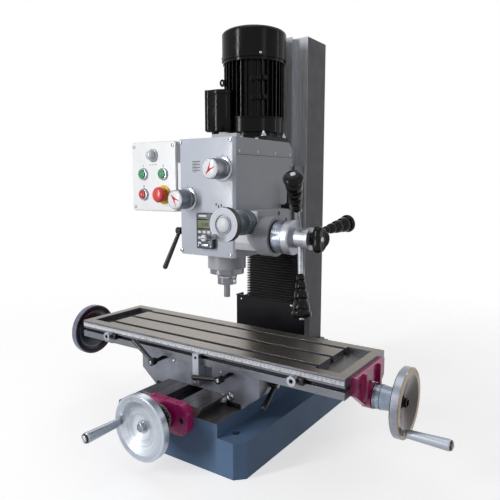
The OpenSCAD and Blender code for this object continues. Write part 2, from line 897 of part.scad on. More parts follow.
// Slotted table with end troughs, stop groove and the channel over the saddle's dovetail
module table() color(ground_c) difference() {
    front = table_y - table_w / 2;
    trough_x = table_l / 2 - trough_end - trough_w;
    block([-table_l / 2, front, table_z], [table_l / 2, front + table_w, table_top]);
    along_x(-table_l / 2 - over, table_l / 2 + over) translate([table_y, 0])
        dovetail(male_root_w / 2 + slip, male_w / 2 + slip, saddle_top, saddle_top + male_h + slip);
    for (i = [0:tee_n - 1]) let (y = table_y + (i - (tee_n - 1) / 2) * slot_pitch) {
        block([-trough_x - over, y - slot_w / 2, table_top - slot_d],
            [trough_x + over, y + slot_w / 2, table_top + over]);
        block([-trough_x - over, y - tee_w / 2, table_top - slot_d - tee_h],
            [trough_x + over, y + tee_w / 2, table_top - slot_d]);
    }
    for (s = [0, 1]) mirror([s, 0, 0]) {
        block([trough_x, front + trough_rim, table_top - trough_d],
            [trough_x + trough_w, front + table_w - trough_rim, table_top + over]);
        end_screws() rod_x(table_l / 2 - end_screw_deep, table_l / 2 + over, 0, 0, end_screw_r + fit);
    }
    block([-table_l / 2 - over, front - over, groove_z - groove_h / 2],
        [table_l / 2 + over, front + groove_d, groove_z + groove_h / 2]);
}
module end_screws() for (y = [-1, 1])
    translate([0, table_y + y * end_screw_y, table_z + end_screw_z]) children();

// Bracket on a table end, drawn for the right end
module end_bracket() {
    x = table_l / 2;
    top = table_top - bracket_drop;
    difference() {
        union() {
            along_x(x, x + bracket_t) {
                polygon([[table_y - bracket_w / 2, top], [table_y - bracket_w / 2, table_z],
                    [table_y - bracket_boss_r, x_screw_z - bracket_boss_r / 2],
                    [table_y + bracket_boss_r, x_screw_z - bracket_boss_r / 2],
                    [table_y + bracket_w / 2, table_z], [table_y + bracket_w / 2, top]]);
                translate([table_y, x_screw_z]) circle(bracket_boss_r);
            }
            rod_x(x, x + bracket_boss_t, table_y, x_screw_z, bracket_boss_r);
            for (s = [-1, 1]) block(
                [x, table_y + s * bracket_rib_y - bracket_rib_t / 2, x_screw_z],
                [x + bracket_t + bracket_rib_out, table_y + s * bracket_rib_y + bracket_rib_t / 2, top]);
        }
        rod_x(x - over, x + table_l, table_y, x_screw_z, journal_r + fit);
        end_screws() {
            rod_x(x - over, x + bracket_t + over, 0, 0, end_screw_r + slip);
            rod_x(x + bracket_t - end_screw_head_t, x + bracket_t + over, 0, 0, end_screw_head_r + slip);
        }
    }
    end_screws() {
        rod_x(x - end_screw_deep + over, x + bracket_t - end_screw_head_t, 0, 0, end_screw_r);
        rod_x(x + bracket_t - end_screw_head_t, x + bracket_t, 0, 0, end_screw_head_r);
    }
}
module right_bracket() color(magenta_c) end_bracket();
module left_bracket() color(magenta_c) mirror([1, 0, 0]) end_bracket();

// Sliding stop: key in the groove and a round head with a socket
module table_stop(x) {
    front = table_y - table_w / 2;
    block([x - stop_key_in, front - over, groove_z - groove_h / 2 + slip],
        [x - stop_key_in + stop_key_l, front + groove_d - slip, groove_z + groove_h / 2 - slip]);
    difference() {
        rod_y(front - over - stop_l, front - over, x, groove_z, stop_r);
        rod_y(front - 2 * over - stop_l, front - over - stop_l / 2, x, groove_z, stop_socket_r);
    }
}
module left_stop() color(bright_c) table_stop(-stop_x);
module right_stop() color(bright_c) table_stop(stop_x);

// Long feed screw with its journals, collars and wheel nuts
module x_screw() color(steel_c) {
    left = table_l / 2 + wheel_face_left;
    right = table_l / 2 + wheel_face_right;
    rod_x(-table_l / 2 + collar_t, table_l / 2 - collar_t, table_y, x_screw_z, screw_r);
    rod_x(-left + dish_d, right - dish_d, table_y, x_screw_z, journal_r);
    for (s = [0, 1]) mirror([s, 0, 0]) {
        rod_x(table_l / 2 - slip - collar_t, table_l / 2 - slip, table_y, x_screw_z, collar_r);
        rod_x(table_l / 2 + bracket_boss_t + slip, table_l / 2 + bracket_boss_t + spacer_t,
            table_y, x_screw_z, spacer_r);
    }
    face_right(right - dish_d, table_y, x_screw_z) cylinder(r = wheel_nut_r, h = wheel_nut_t, $fn = 6);
    face_left(-left + dish_d, table_y, x_screw_z) cylinder(r = wheel_nut_r, h = wheel_nut_t, $fn = 6);
}

// Dished wheel about its own Z axis: rim face at zero, hub behind it, crank pin in front
module wheel(hub_l, pin_a) {
    difference() {
        rotate_extrude() polygon([
            [journal_r + fit, -dish_d], [dish_eye_r, -dish_d], [dish_r, 0], [wheel_r - wheel_edge, 0],
            [wheel_r, -wheel_edge], [wheel_r, wheel_edge - wheel_t], [wheel_r - wheel_edge, -wheel_t],
            [back_r, -wheel_t], [back_r - back_d, back_d - wheel_t], [wheel_hub_r, back_d / 2 - wheel_t],
            [wheel_hub_r, -hub_l], [journal_r + fit, -hub_l]]);
        rotate(pin_a) translate([crank_r, 0, -pin_sunk]) cylinder(r = pin_r, h = pin_sunk + over);
    }
    rotate(pin_a) translate([crank_r, 0, 0]) {
        translate([0, 0, -pin_sunk]) cylinder(r = pin_r, h = pin_sunk + grip_l + 2 * slip);
        translate([0, 0, grip_l + 2 * slip]) cylinder(r = pin_head_r, h = pin_head_t);
    }
}

// Grip turning on a crank pin, from the wheel's face outwards
module crank_grip(hole) rotate_extrude() polygon([
    [hole, slip], [grip_neck_r, slip], [grip_neck_r, grip_neck_l], [grip_root_r, grip_neck_l + grip_round],
    [grip_end_r, grip_l - grip_round], [grip_end_r - grip_round, grip_l], [hole, grip_l]]);

module right_handwheel() color(steel_c) face_right(table_l / 2 + wheel_face_right, table_y, x_screw_z)
    wheel(wheel_face_right - bracket_boss_t - spacer_t - dial_t, right_crank_a);
module right_grip() color(bright_c) face_right(table_l / 2 + wheel_face_right, table_y, x_screw_z)
    rotate(right_crank_a) translate([crank_r, 0, 0]) crank_grip(pin_r + fit);
module left_handwheel() color(steel_c) face_left(-table_l / 2 - wheel_face_left, table_y, x_screw_z) {
    wheel(wheel_face_left - bracket_boss_t - spacer_t - dial_t, left_crank_a);
    rotate(left_crank_a) translate([crank_r, 0, 0]) crank_grip(pin_r + fit);
}

// Long feed dials, one at each end
module x_dials() color(pale_c) for (s = [0, 1]) mirror([s, 0, 0])
    face_right(table_l / 2 + bracket_boss_t + spacer_t, table_y, x_screw_z) rotate_extrude() polygon([
        [journal_r + fit, 0], [dial_r, 0], [dial_r, dial_land_t], [dial_end_r, dial_t],
        [journal_r + fit, dial_t]]);

// Cross feed screw with its journal, collars and wheel nut
module y_screw() color(steel_c) {
    face = base_front - wheel_face_front;
    boss = base_front - y_bracket_t - y_bracket_boss_t;
    rod_y(base_front, y_screw_end, 0, y_screw_z, screw_r);
    rod_y(face + dish_d, base_front + over, 0, y_screw_z, journal_r);
    rod_y(base_front + slip, base_front + slip + collar_t, 0, y_screw_z, collar_r);
    rod_y(boss - y_spacer_t, boss - slip, 0, y_screw_z, spacer_r);
    face_front(0, face + dish_d, y_screw_z) cylinder(r = wheel_nut_r, h = wheel_nut_t, $fn = 6);
}
module y_dial() color(dark_c) {
    start = base_front - y_bracket_t - y_bracket_boss_t - y_spacer_t;
    face_front(0, start, y_screw_z) difference() {
        cylinder(r = y_dial_r, h = y_dial_t);
        translate([0, 0, -over]) cylinder(r = journal_r + fit, h = y_dial_t + 2 * over);
    }
}
module front_handwheel() color(steel_c) face_front(0, base_front - wheel_face_front, y_screw_z)
    wheel(wheel_face_front - y_bracket_t - y_bracket_boss_t - y_spacer_t - y_dial_t, front_crank_a);
module front_grip() color(bright_c) face_front(0, base_front - wheel_face_front, y_screw_z)
    rotate(front_crank_a) translate([crank_r, 0, 0]) crank_grip(pin_r + fit);

// Slide on the column's dovetail with the swivel spigot and the nut on the elevation screw
module head_slide() color(grey_c) {
    difference() {
        block([-slide_w / 2, slide_front, slide_z], [slide_w / 2, slide_back, slide_z + slide_h]);
        translate([0, 0, slide_z - over]) linear_extrude(slide_h + 2 * over) polygon([
            [-col_root_w / 2 - slip, col_y], [-col_dove_w / 2 - slip, col_face - slip],
            [col_dove_w / 2 + slip, col_face - slip], [col_root_w / 2 + slip, col_y]]);
    }
    rod_y(slide_front - spigot_l, slide_front + over, 0, head_z + tilt_z, spigot_r);
    difference() {
        union() {
            block([-lug_w / 2, col_face - over, lug_lo], [lug_w / 2, z_screw_y, lug_lo + lug_h]);
            block([-nut_half, z_screw_y - nut_half, lug_lo],
                [nut_half, z_screw_y + nut_half, lug_lo + lug_h]);
        }
        rod_z(lug_lo - over, lug_lo + lug_h + over, 0, z_screw_y, z_screw_r + fit);
    }
}

// Folded cover round the column's dovetail: rings of eight points, wide and narrow in turn
function fold_ring(i, z) = let (in = (i % 2) * bellows_fold, w = bellows_w / 2 - in, y = bellows_front + in,
    t = bellows_t) [
    [-w, slide_back, z], [-w, y, z], [w, y, z], [w, slide_back, z],
    [w - t, slide_back, z], [w - t, y + t, z], [t - w, y + t, z], [t - w, slide_back, z]];
fold_cap = [[0, 1, 6], [0, 6, 7], [1, 2, 5], [1, 5, 6], [2, 3, 4], [2, 4, 5]];
module bellows() color(black_c) {
    n = 2 * bellows_n;
    h = slide_z - slip - cover_top;
    polyhedron(
        points = [for (i = [0:n]) each fold_ring(i, cover_top + i * h / n)],
        faces = concat(
            fold_cap,
            [for (i = [0:n - 1], k = [0:7]) each let (a = 8 * i + k, b = 8 * i + (k + 1) % 8)
                [[a, a + 8, b], [b, a + 8, b + 8]]],
            [for (q = fold_cap) [for (k = [2:-1:0]) 8 * n + q[k]]]));
}

// Gearbox casting: walls, quill guide, bearing shelf and the lug of the feed shaft's left bush
module head_housing() color(grey_c) difference() {
    x = head_w / 2;
    union() {
        difference() {
            block([-x, head_front, head_z], [x, head_back, head_top]);
            block([-x + head_wall, head_front + head_wall, head_z + head_wall],
                [x - head_wall, head_back - rear_wall, head_top + over]);
        }
        rod_z(head_z - boss_h, shelf_z, 0, spindle_y, guide_r);
        block([-x + over, head_front + over, shelf_z], [x - over, head_back - over, shelf_z + shelf_t]);
        block([-lug_x - bush_l - head_wall / 2, head_front + over, feed_z - bush_r - head_wall],
            [-lug_x + head_wall / 2, spindle_y, feed_z + bush_r + head_wall]);
    }
    rod_z(head_z - boss_h - over, shelf_z + over, 0, spindle_y, quill_r + fit);
    rod_z(shelf_z - over, shelf_z + shelf_t + over, 0, spindle_y, sleeve_bearing_r + fit);
    rod_z(shelf_z - over, shelf_z + shelf_t + over, 0, lay_y, lay_bearing_r + fit);
    rod_x(-pinion_w / 2 - over, pinion_w / 2 + over, feed_y, feed_z, pinion_r + rack_m + over);
    rod_x(-lug_x - bush_l, x + over, feed_y, feed_z, feed_r + over);
    rod_x(-lug_x - bush_l, -lug_x, feed_y, feed_z, bush_r + fit);
    rod_y(head_back - rear_wall - over, head_back + over, 0, head_z + tilt_z, spigot_r + fit);
    knob_places() rod_y(head_front - over, head_front + head_wall + over, 0, 0, knob_shaft_r + fit);
    rod_x(-x - over, -x + lever_stud_deep, quill_lock_y, head_z + quill_lock_up, lever_stud_r + fit);
    rod_x(x - lever_stud_deep, x + over, clamp_y, head_z + clamp_up, lever_stud_r + fit);
}
module knob_places() {
    translate([range_x, 0, head_z + range_up]) children();
    translate([speed_x, 0, head_z + speed_up]) children();
}

// Front plate with the rings of both knobs
module front_plate() color(pale_c) difference() {
    union() {
        block([-head_w / 2, head_front - plate_t, head_z], [head_w / 2, head_front, cover_top_z]);
        knob_places() rod_y(head_front - plate_t - plate_ring_t, head_front, 0, 0, plate_ring_r);
    }
    knob_places() rod_y(head_front - plate_t - 2 * plate_ring_t, head_front + over, 0, 0, knob_shaft_r + fit);
}

// Gearbox cover with the upper bearing bosses and the motor's opening
module top_cover() color(grey_c) difference() {
    x = head_w / 2;
    z = cover_top_z;
    boss_z = head_top + bearing_up;
    union() {
        difference() {
            along_x(-x, x) polygon([[head_front, head_top], [head_front, z], [head_back - cover_chamfer, z],
                [head_back, z - cover_chamfer], [head_back, head_top]]);
            block([-x + head_wall, head_front + head_wall, head_top - over],
                [x - head_wall, head_back - rear_wall - cover_chamfer, z - cover_roof]);
        }
        block([step_x, head_front, z - over], [x, head_front + step_l - quill_in, z + step_h]);
        rod_z(boss_z, z - over, 0, lay_y, lay_bearing_r + bearing_wall);
        rod_z(boss_z, z - over, 0, spindle_y, sleeve_bearing_r + bearing_wall);
    }
    rod_z(boss_z - over, boss_z + bearing_t, 0, lay_y, lay_bearing_r + fit);
    rod_z(boss_z - over, boss_z + bearing_t, 0, spindle_y, sleeve_bearing_r + fit);
    rod_z(boss_z, z - over - over, 0, spindle_y, sleeve_r + over);
    rod_z(boss_z, z - over - over, 0, lay_y, lay_r + over);
    rod_z(head_top, z + over, 0, motor_y, gear_m * (motor_n / 2 + 1) + gear_extra);
}

// Housing of the worm gear and the pinion shaft's boss
module feed_housing() color(ground_c) difference() {
    union() {
        along_x(feed_block_x, feed_block_end) polygon([
            [head_front - plate_t, head_z + feed_block_lo + feed_block_h],
            [head_front - plate_t + feed_block_l, head_z + feed_block_lo + feed_block_h],
            [head_front - plate_t + feed_block_l, head_z + feed_block_lo + feed_block_cut],
            [head_front - plate_t + feed_block_l - feed_block_cut, head_z + feed_block_lo],
            [head_front - plate_t, head_z + feed_block_lo]]);
        rod_x(feed_block_end - over, feed_boss_end, feed_y, feed_z, feed_boss_r);
        translate([feed_block_end - feed_cone_l, feed_y, feed_z]) rotate([0, 90, 0])
            cylinder(r1 = feed_cone_r, r2 = feed_boss_r, h = feed_cone_l);
    }
    rod_x(feed_block_x - over, feed_boss_end + over, feed_y, feed_z, feed_r + over);
    feed_bushes() rod_x(0, bush_l, feed_y, feed_z, bush_r + fit);
    rod_x(worm_x - worm_wheel_t / 2 - worm_room, worm_x + worm_wheel_t / 2 + worm_room, feed_y, feed_z,
        worm_wheel_r + worm_m + worm_room);
    rod_y(feed_y - worm_l / 2 - worm_room, feed_y + worm_l / 2 + worm_room, worm_x, worm_z,
        worm_r + worm_m + worm_room);
    rod_y(head_front - plate_t - 2 * worm_room, feed_y + worm_l / 2 + worm_tail + worm_room, worm_x, worm_z,
        worm_shaft_r + fit);
    rod_y(head_front - plate_t - feed_boss_r, head_front - plate_t, worm_x, worm_z, fine_dial_r + worm_room);
}
module feed_bushes() {
    translate([feed_block_x, 0, 0]) children();
    translate([feed_boss_end - bush_l, 0, 0]) children();
}

// Ball bearings of the layshaft and sleeve, bushes of the feed shaft
module head_bearings() color(steel_c) {
    boss_z = head_top + bearing_up;
    ring_z(shelf_z, shelf_z + bearing_t, 0, lay_y, lay_bearing_r, lay_r + fit);
    ring_z(shelf_z, shelf_z + bearing_t, 0, spindle_y, sleeve_bearing_r, sleeve_r + fit);
    ring_z(boss_z, boss_z + bearing_t - slip, 0, lay_y, lay_bearing_r, lay_r + fit);
    ring_z(boss_z, boss_z + bearing_t - slip, 0, spindle_y, sleeve_bearing_r, sleeve_r + fit);
    ring_x(-lug_x - bush_l + slip, -lug_x, feed_y, feed_z, bush_r, feed_r + fit);
    feed_bushes() ring_x(slip, bush_l - slip, feed_y, feed_z, bush_r, feed_r + fit);
}

// Motor frame: adapter plate, neck, end bell, finned body with its lugs, and end shield
module motor_frame() color(black_c) difference() {
    half = motor_plate_w / 2;
    union() {
        block([-half, motor_y - half + capacitor_corner, motor_plate_z],
            [half, head_back - cover_chamfer, motor_plate_z + motor_plate_t]);
        rod_z(motor_plate_z, bell_z, 0, motor_y, motor_neck_r);
        rod_z(bell_z, body_z, 0, motor_y, bell_r);
        rod_z(body_z, body_top, 0, motor_y, body_r);
        translate([0, motor_y, body_z]) for (i = [0:fin_n - 1]) rotate(i * 360 / fin_n)
            translate([body_r - fin_t, -fin_t / 2, 0])
                cube([fin_r - body_r + fin_t, fin_t, motor_h - shield_t]);
        rod_z(body_top - shield_t, body_top, 0, motor_y, motor_r - shield_in);
    }
    rod_z(body_z, body_top - shield_t, 0, motor_y, stator_r);
    rod_z(motor_plate_z - over, body_top + over, 0, motor_y, rotor_shaft_r + fit);
}

// Fan cowl: domed cap with air holes
module fan_cowl() color(black_c) translate([0, motor_y, body_top - shield_t / 2]) difference() {
    rotate_extrude() difference() {
        cowl_outline(motor_r, cowl_h, cowl_round);
        translate([0, -over]) cowl_outline(motor_r - cowl_t, cowl_h - cowl_t + over, cowl_round - cowl_t);
    }
    for (k = [1:cowl_rings], i = [0:cowl_ring_n * k - 1]) rotate(i * 360 / (cowl_ring_n * k))
        translate([motor_r * cowl_ring_share * k, 0, cowl_h - 2 * cowl_t])
            cylinder(r = cowl_hole_r, h = 3 * cowl_t);
}
module cowl_outline(r, h, c) {
    square([r, h - c]);
    square([r - c * cowl_slope, h]);
    intersection() {
        translate([r - c * cowl_slope, h - c]) scale([cowl_slope, 1]) circle(c);
        square([r, h]);
    }
}

// Motor shaft with its rotor, fan and pinion
module motor_rotor() color(steel_c) {
    lo = head_z + guide_top + shelf_t + high_gear_up - gear_extra;
    top = body_top + fan_up + fan_t;
    rod_z(lo + over, top, 0, motor_y, rotor_shaft_r);
    rod_z(body_z + rotor_in, body_top - shield_t - rotor_in, 0, motor_y, rotor_r);
    spur_gear(gear_m, motor_n, lo, lo + high_gear_t + 2 * gear_extra, motor_y, -90);
    translate([0, motor_y, body_top + fan_up]) {
        cylinder(r = fan_hub_r, h = fan_t);
        for (i = [0:fan_n - 1]) rotate(i * 360 / fan_n)
            translate([rotor_shaft_r + over, -fan_blade_t / 2, over])
                cube([fan_r - rotor_shaft_r, fan_blade_t, fan_t - 2 * over]);
    }
}

// Capacitor and terminal box on the motor's side, cut to the motor's round
module terminal_box() color(black_c) difference() {
    translate([capacitor_x - capacitor_w / 2, capacitor_y + capacitor_d / 2, bell_z])
        linear_extrude(capacitor_h) rounded_square(capacitor_w, capacitor_d, capacitor_corner);
    rod_z(bell_z - over, bell_z + capacitor_h + over, 0, motor_y, fin_r + slip);
}

// Layshaft with its two gears
module layshaft() color(steel_c) {
    lo = shelf_z + shelf_t;
    rod_z(shelf_z - gear_extra, head_top + bearing_up + bearing_t, 0, lay_y, lay_r);
    spur_gear(gear_m, lay_small_n, lo + low_gear_up - gear_extra,
        lo + low_gear_up + low_gear_t + gear_extra, lay_y, -90);
    spur_gear(gear_m, lay_big_n, lo + high_gear_up, lo + high_gear_up + high_gear_t, lay_y,
        90 + 180 / lay_big_n);
}

// Drive sleeve: splined bore and the spindle gear
module drive_sleeve() color(steel_c) difference() {
    lo = shelf_z + shelf_t + low_gear_up;
    union() {
        rod_z(shelf_z - gear_extra, head_top + bearing_up + bearing_t, 0, spindle_y, sleeve_r);
        spur_gear(gear_m, sleeve_n, lo, lo + low_gear_t, spindle_y, 90 + 180 / sleeve_n);
    }
    translate([0, spindle_y, shelf_z - 2 * gear_extra]) linear_extrude(cover_top_z - shelf_z)
        spline_outline(spline_gap);
}
module spline_outline(gap) {
    circle(spline_root_r + gap);
    for (i = [0:spline_n / 2 - 1]) rotate(i * 360 / spline_n)
        square([2 * spline_r + 2 * gap, spline_w + 2 * gap], center = true);
}

// Quill with its end cap, rack and two spindle bearings
module quill() color(steel_c) {
    top = quill_z + quill_h;
    difference() {
        union() {
            rod_z(quill_z - slip, top, 0, spindle_y, quill_r);
            rod_z(quill_z - slip - cap_t, quill_z - slip, 0, spindle_y, cap_r);
        }
        rod_z(quill_z - cap_t - over, top + over, 0, spindle_y, spindle_r + spindle_bore_gap);
        quill_bearings() cylinder(r = spindle_bearing_r + fit, h = spindle_bearing_t);
        for (i = [-rack_below:rack_above]) translate([0, spindle_y - rack_line, feed_z + i * PI * rack_m])
            along_x(-rack_w / 2, rack_w / 2) rack_gullet();
    }
    quill_bearings() difference() {
        cylinder(r = spindle_bearing_r, h = spindle_bearing_t);
        translate([0, 0, -over]) cylinder(r = spindle_r + fit, h = spindle_bearing_t + 2 * over);
    }
}
module quill_bearings() {
    translate([0, spindle_y, quill_z]) children();
    translate([0, spindle_y, quill_z + quill_h - bearing_inset - spindle_bearing_t]) children();
}
module rack_gullet() {
    half = PI * rack_m / 4;
    deep = dedendum_share * rack_m;
    out = rack_m + over;
    polygon([[-out, -half - out * tan(pressure)], [deep, -half + deep * tan(pressure)],
        [deep, half - deep * tan(pressure)], [-out, half + out * tan(pressure)]]);
}

// Spindle: nose with the tool's bore, body and splined upper end
module spindle() color(steel_c) difference() {
    top = quill_z + quill_h;
    nose_z = quill_z - 2 * slip - cap_t - nose_h;
    union() {
        rod_z(nose_z, nose_z + nose_h, 0, spindle_y, nose_r);
        rod_z(nose_z, top, 0, spindle_y, spindle_r);
        translate([0, spindle_y, top - over]) linear_extrude(spindle_over) spline_outline(0);
    }
    rod_z(nose_z - over, nose_z + arbor_in, 0, spindle_y, arbor_r + fit);
}
module tool_arbor() color(steel_c) {
    nose_z = quill_z - 2 * slip - cap_t - nose_h;
    rod_z(nose_z - shank_out, nose_z, 0, spindle_y, shank_r);
    rod_z(nose_z, nose_z + arbor_in - over, 0, spindle_y, arbor_r);
}

// Feed shaft with the rack pinion
module feed_shaft() color(steel_c) {
    rod_x(-lug_x - bush_l + slip, star_x + star_neck_l + star_l / 2, feed_y, feed_z, feed_r);
    translate([-pinion_w / 2, feed_y, feed_z]) rotate([0, 90, 0]) rotate(90) linear_extrude(pinion_w)
        gear_outline(rack_m, pinion_n, tooth_thin);
}

// Downfeed hub with its flange, end ring and spokes
module downfeed_hub() color(bright_c) {
    ring_from = feed_flange_l + feed_hub_l - hub_ring_l;
    face_right(flange_x, feed_y, feed_z) rotate_extrude() polygon([
        [feed_r + fit, 0], [feed_flange_r, 0], [feed_flange_r, feed_flange_l - feed_flange_edge],
        [feed_flange_r - feed_flange_edge, feed_flange_l], [feed_hub_r, feed_flange_l],
        [feed_hub_r, ring_from],
        [hub_ring_r, ring_from], [hub_ring_r, ring_from + hub_ring_l],
        [feed_r + fit, ring_from + hub_ring_l]]);
    spokes() translate([0, 0, spoke_from]) cylinder(r = spoke_rod_r, h = spoke_len + spoke_in - spoke_from);
}
module spokes() for (i = [0:spoke_n - 1]) translate([spoke_x, feed_y, feed_z])
    rotate([spoke_first + i * 360 / spoke_n - 90, 0, 0]) rotate([0, spoke_tilt, 0]) children();

// Ribbed grips with mushroom caps on the spokes
module downfeed_grips() color(black_c) spokes() difference() {
    l = spoke_len - grip_from;
    union() {
        translate([0, 0, grip_from]) {
            cylinder(r = grip_core_r, h = l);
            for (i = [0:len(grip_radius_shares) - 1]) let (r = grip_radius_shares[i] * grip_cap_r,
                z = grip_step_shares[i] * l, end = grip_step_shares[i + 1] * l)
                translate([0, 0, z]) cylinder(r1 = r * grip_waist_share, r2 = r, h = end - z);
        }
        translate([0, 0, spoke_len - grip_cap_t / 2]) intersection() {
            sphere(grip_cap_r);
            translate([0, 0, -grip_cap_t / 2]) cylinder(r = grip_cap_r, h = 2 * grip_cap_t);
        }
    }
    cylinder(r = spoke_rod_r + fit, h = spoke_len + spoke_in + fit);
}

// Graduated ring between the boss and the hub
module feed_dial() color(pale_c)
    ring_x(feed_dial_x, feed_dial_x + feed_dial_l, feed_y, feed_z, feed_dial_r, feed_r + fit);

// Clutch knob on the shaft's end
module star_knob() color(black_c) difference() {
    union() {
        rod_x(star_x, star_x + star_neck_l + over, feed_y, feed_z, star_neck_r);
        face_right(star_x + star_neck_l, feed_y, feed_z) {
            cylinder(r = star_core_r, h = star_l);
            for (i = [0:star_n - 1]) rotate(i * 360 / star_n + 180) {
                translate([star_r - star_lobe_r, 0, 0]) cylinder(r = star_lobe_r, h = star_l);
                translate([0, -star_lobe_r, 0]) cube([star_r - star_lobe_r, 2 * star_lobe_r, star_l]);
            }
        }
    }
    rod_x(star_x - over, star_x + star_neck_l + star_l / 2 + over, feed_y, feed_z, feed_r + fit);
}

// Fine feed: worm and its shaft, dial, neck, wheel and grip
module fine_wheel() color(steel_c) {
    front = head_front - plate_t - slip;
    face = fine_dial_l + fine_neck_l + fine_t;
    face_front(worm_x, feed_y + worm_l / 2, worm_z) {
        translate([0, 0, -worm_tail])
            cylinder(r = worm_shaft_r, h = worm_tail + feed_y + worm_l / 2 - front + over);
        cylinder(r = worm_core_r, h = worm_l);
        translate([0, 0, (worm_l - worm_turns * worm_pitch) / 2])
            thread(worm_core_r - fit, worm_r + worm_m * worm_tip_share, worm_pitch * worm_half_share,
                worm_pitch, worm_turns);
    }
    face_front(worm_x, front, worm_z) {
        cylinder(r = fine_dial_r, h = fine_dial_l);
        translate([0, 0, fine_dial_l]) cylinder(r = fine_neck_r, h = fine_neck_l);
        translate([0, 0, fine_dial_l + fine_neck_l]) difference() {
            cylinder(r = fine_r, h = fine_t);
            translate([0, 0, fine_t - fine_lip_d]) difference() {
                cylinder(r = fine_lip_r, h = fine_lip_d + over);
                cylinder(r = fine_lip_r - fine_lip_d, h = fine_lip_d + over);
            }
        }
        translate([fine_grip_x, fine_grip_z, face - over])
            cylinder(r1 = fine_grip_root_r, r2 = fine_grip_r, h = fine_grip_l + over);
    }
}

// Worm wheel running on the feed shaft
module worm_wheel() color(bronze_c) difference() {
    root = worm_wheel_r - worm_m * worm_root_share;
    tip = worm_wheel_r + worm_m * worm_height_share;
    translate([worm_x - worm_wheel_t / 2, feed_y, feed_z]) rotate([0, 90, 0]) linear_extrude(worm_wheel_t)
        polygon([for (i = [0:worm_n - 1]) each [
            polar(root, (i + 0.5 - worm_gap_share) * 360 / worm_n),
            polar(root, (i + 0.5 - worm_foot_share) * 360 / worm_n),
            polar(tip, (i + 0.5 - worm_top_share) * 360 / worm_n),
            polar(tip, (i + 0.5 + worm_top_share) * 360 / worm_n),
            polar(root, (i + 0.5 + worm_foot_share) * 360 / worm_n)]]);
    rod_x(worm_x - worm_wheel_t, worm_x + worm_wheel_t, feed_y, feed_z, feed_r + fit);
}

// Speed selector knob about its own Z axis
module knob() {
    difference() {
        cylinder(r = knob_r, h = knob_l);
        translate([0, 0, knob_l - knob_face_in]) cylinder(r = knob_r - knob_face_in, h = knob_face_in + over);
    }
    translate([0, 0, -knob_shaft_l]) cylinder(r = knob_shaft_r, h = knob_shaft_l + over);
}
module range_knob() color(steel_c)
    face_front(range_x, head_front - plate_t - plate_ring_t - slip, head_z + range_up) knob();
module speed_knob() color(steel_c)
    face_front(speed_x, head_front - plate_t - plate_ring_t - slip, head_z + speed_up) knob();

// Depth readout on the front plate
module depth_readout() color(dark_c) along_y(head_front - plate_t - readout_t, head_front - plate_t)
    translate([readout_x, head_z + readout_up + readout_h / 2])
        rounded_square(readout_w, readout_h, readout_corner);

// Switch box with its arm to the head
module control_box() color(white_c) difference() {
    w = panel_w / 2;
    union() {
        along_y(panel_front, panel_front + panel_d) translate([panel_x + w, panel_z + panel_h / 2])
            rounded_square(panel_w, panel_h, panel_corner);
        block([panel_x + panel_w - over, panel_front + panel_wall, panel_z + panel_h / 2 - panel_arm_h / 2],
            [-head_w / 2, panel_front + panel_wall + panel_arm_d, panel_z + panel_h / 2 + panel_arm_h / 2]);
        button_places() rod_y(panel_front - bezel_h, panel_front + over, 0, 0, bezel_r);
    }
    block([panel_x + panel_wall, panel_front + panel_wall, panel_z + panel_wall],
        [panel_x + panel_w - panel_wall, panel_front + panel_d - panel_wall, panel_z + panel_h - panel_wall]);
    button_places() {
        rod_y(panel_front - over, panel_front + panel_wall + over, 0, 0, button_stem_r + button_gap);
        rod_y(panel_front - bezel_h - over, panel_front, 0, 0, button_r + slip);
    }
}
module button_places() for (x = [-1, 1], z = [-1, 1])
    translate([panel_x + panel_w / 2 + x * button_dx, 0, panel_z + button_up + z * button_dz]) children();

// Push buttons: cap outside, stem through the panel
module push_button(x, z, r, t, stand) face_front(panel_x + panel_w / 2 + x * button_dx, panel_front,
    panel_z + button_up + z * button_dz) {
    translate([0, 0, -button_stem_l]) cylinder(r = button_stem_r, h = button_stem_l + stand);
    translate([0, 0, stand]) cylinder(r = r, h = t);
}
module start_button() color("green") push_button(-1, 1, button_r, button_out, button_stroke + slip);
module reverse_button() color("green") push_button(1, 1, button_r, button_out, button_stroke + slip);
module stop_button() color("red") push_button(-1, -1, button_r, button_out, button_stroke + slip);
module emergency_stop() color("red") push_button(1, -1, stop_cap_r, stop_cap_t, stop_stand);

// Clamp levers of the quill and of the head's swivel
module quill_lock() color(black_c) face_left(-head_w / 2, quill_lock_y, head_z + quill_lock_up)
    rotate(180 + quill_lock_a) clamp_lever(quill_lock_stand, quill_lock_l, lever_r, quill_lock_lean);
module head_clamp() color(black_c) face_right(head_w / 2, clamp_y, head_z + clamp_up)
    rotate(180) clamp_lever(clamp_stand, clamp_l, clamp_r, 0);

base();
column();
column_bolts();
front_bracket();
way_cover();
z_screw();
z_crank();
saddle();
feed_nuts();
stop_block();
table_lock_left();
table_lock_right();
saddle_lock();
table();
right_bracket();
left_bracket();
left_stop();
right_stop();
x_screw();
right_handwheel();
left_handwheel();
x_dials();
right_grip();
y_screw();
front_handwheel();
y_dial();
front_grip();
head_slide();
bellows();
head_housing();
front_plate();
top_cover();
feed_housing();
motor_frame();
fan_cowl();
terminal_box();
control_box();
depth_readout();
head_bearings();
head_clamp();
motor_rotor();
layshaft();
drive_sleeve();
quill();
spindle();
tool_arbor();
feed_shaft();
downfeed_hub();
downfeed_grips();
feed_dial();
star_knob();
fine_wheel();
worm_wheel();
range_knob();
speed_knob();
start_button();
reverse_button();
stop_button();
emergency_stop();
quill_lock();
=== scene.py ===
import math

import bmesh
import bpy
from mathutils import Matrix, Vector


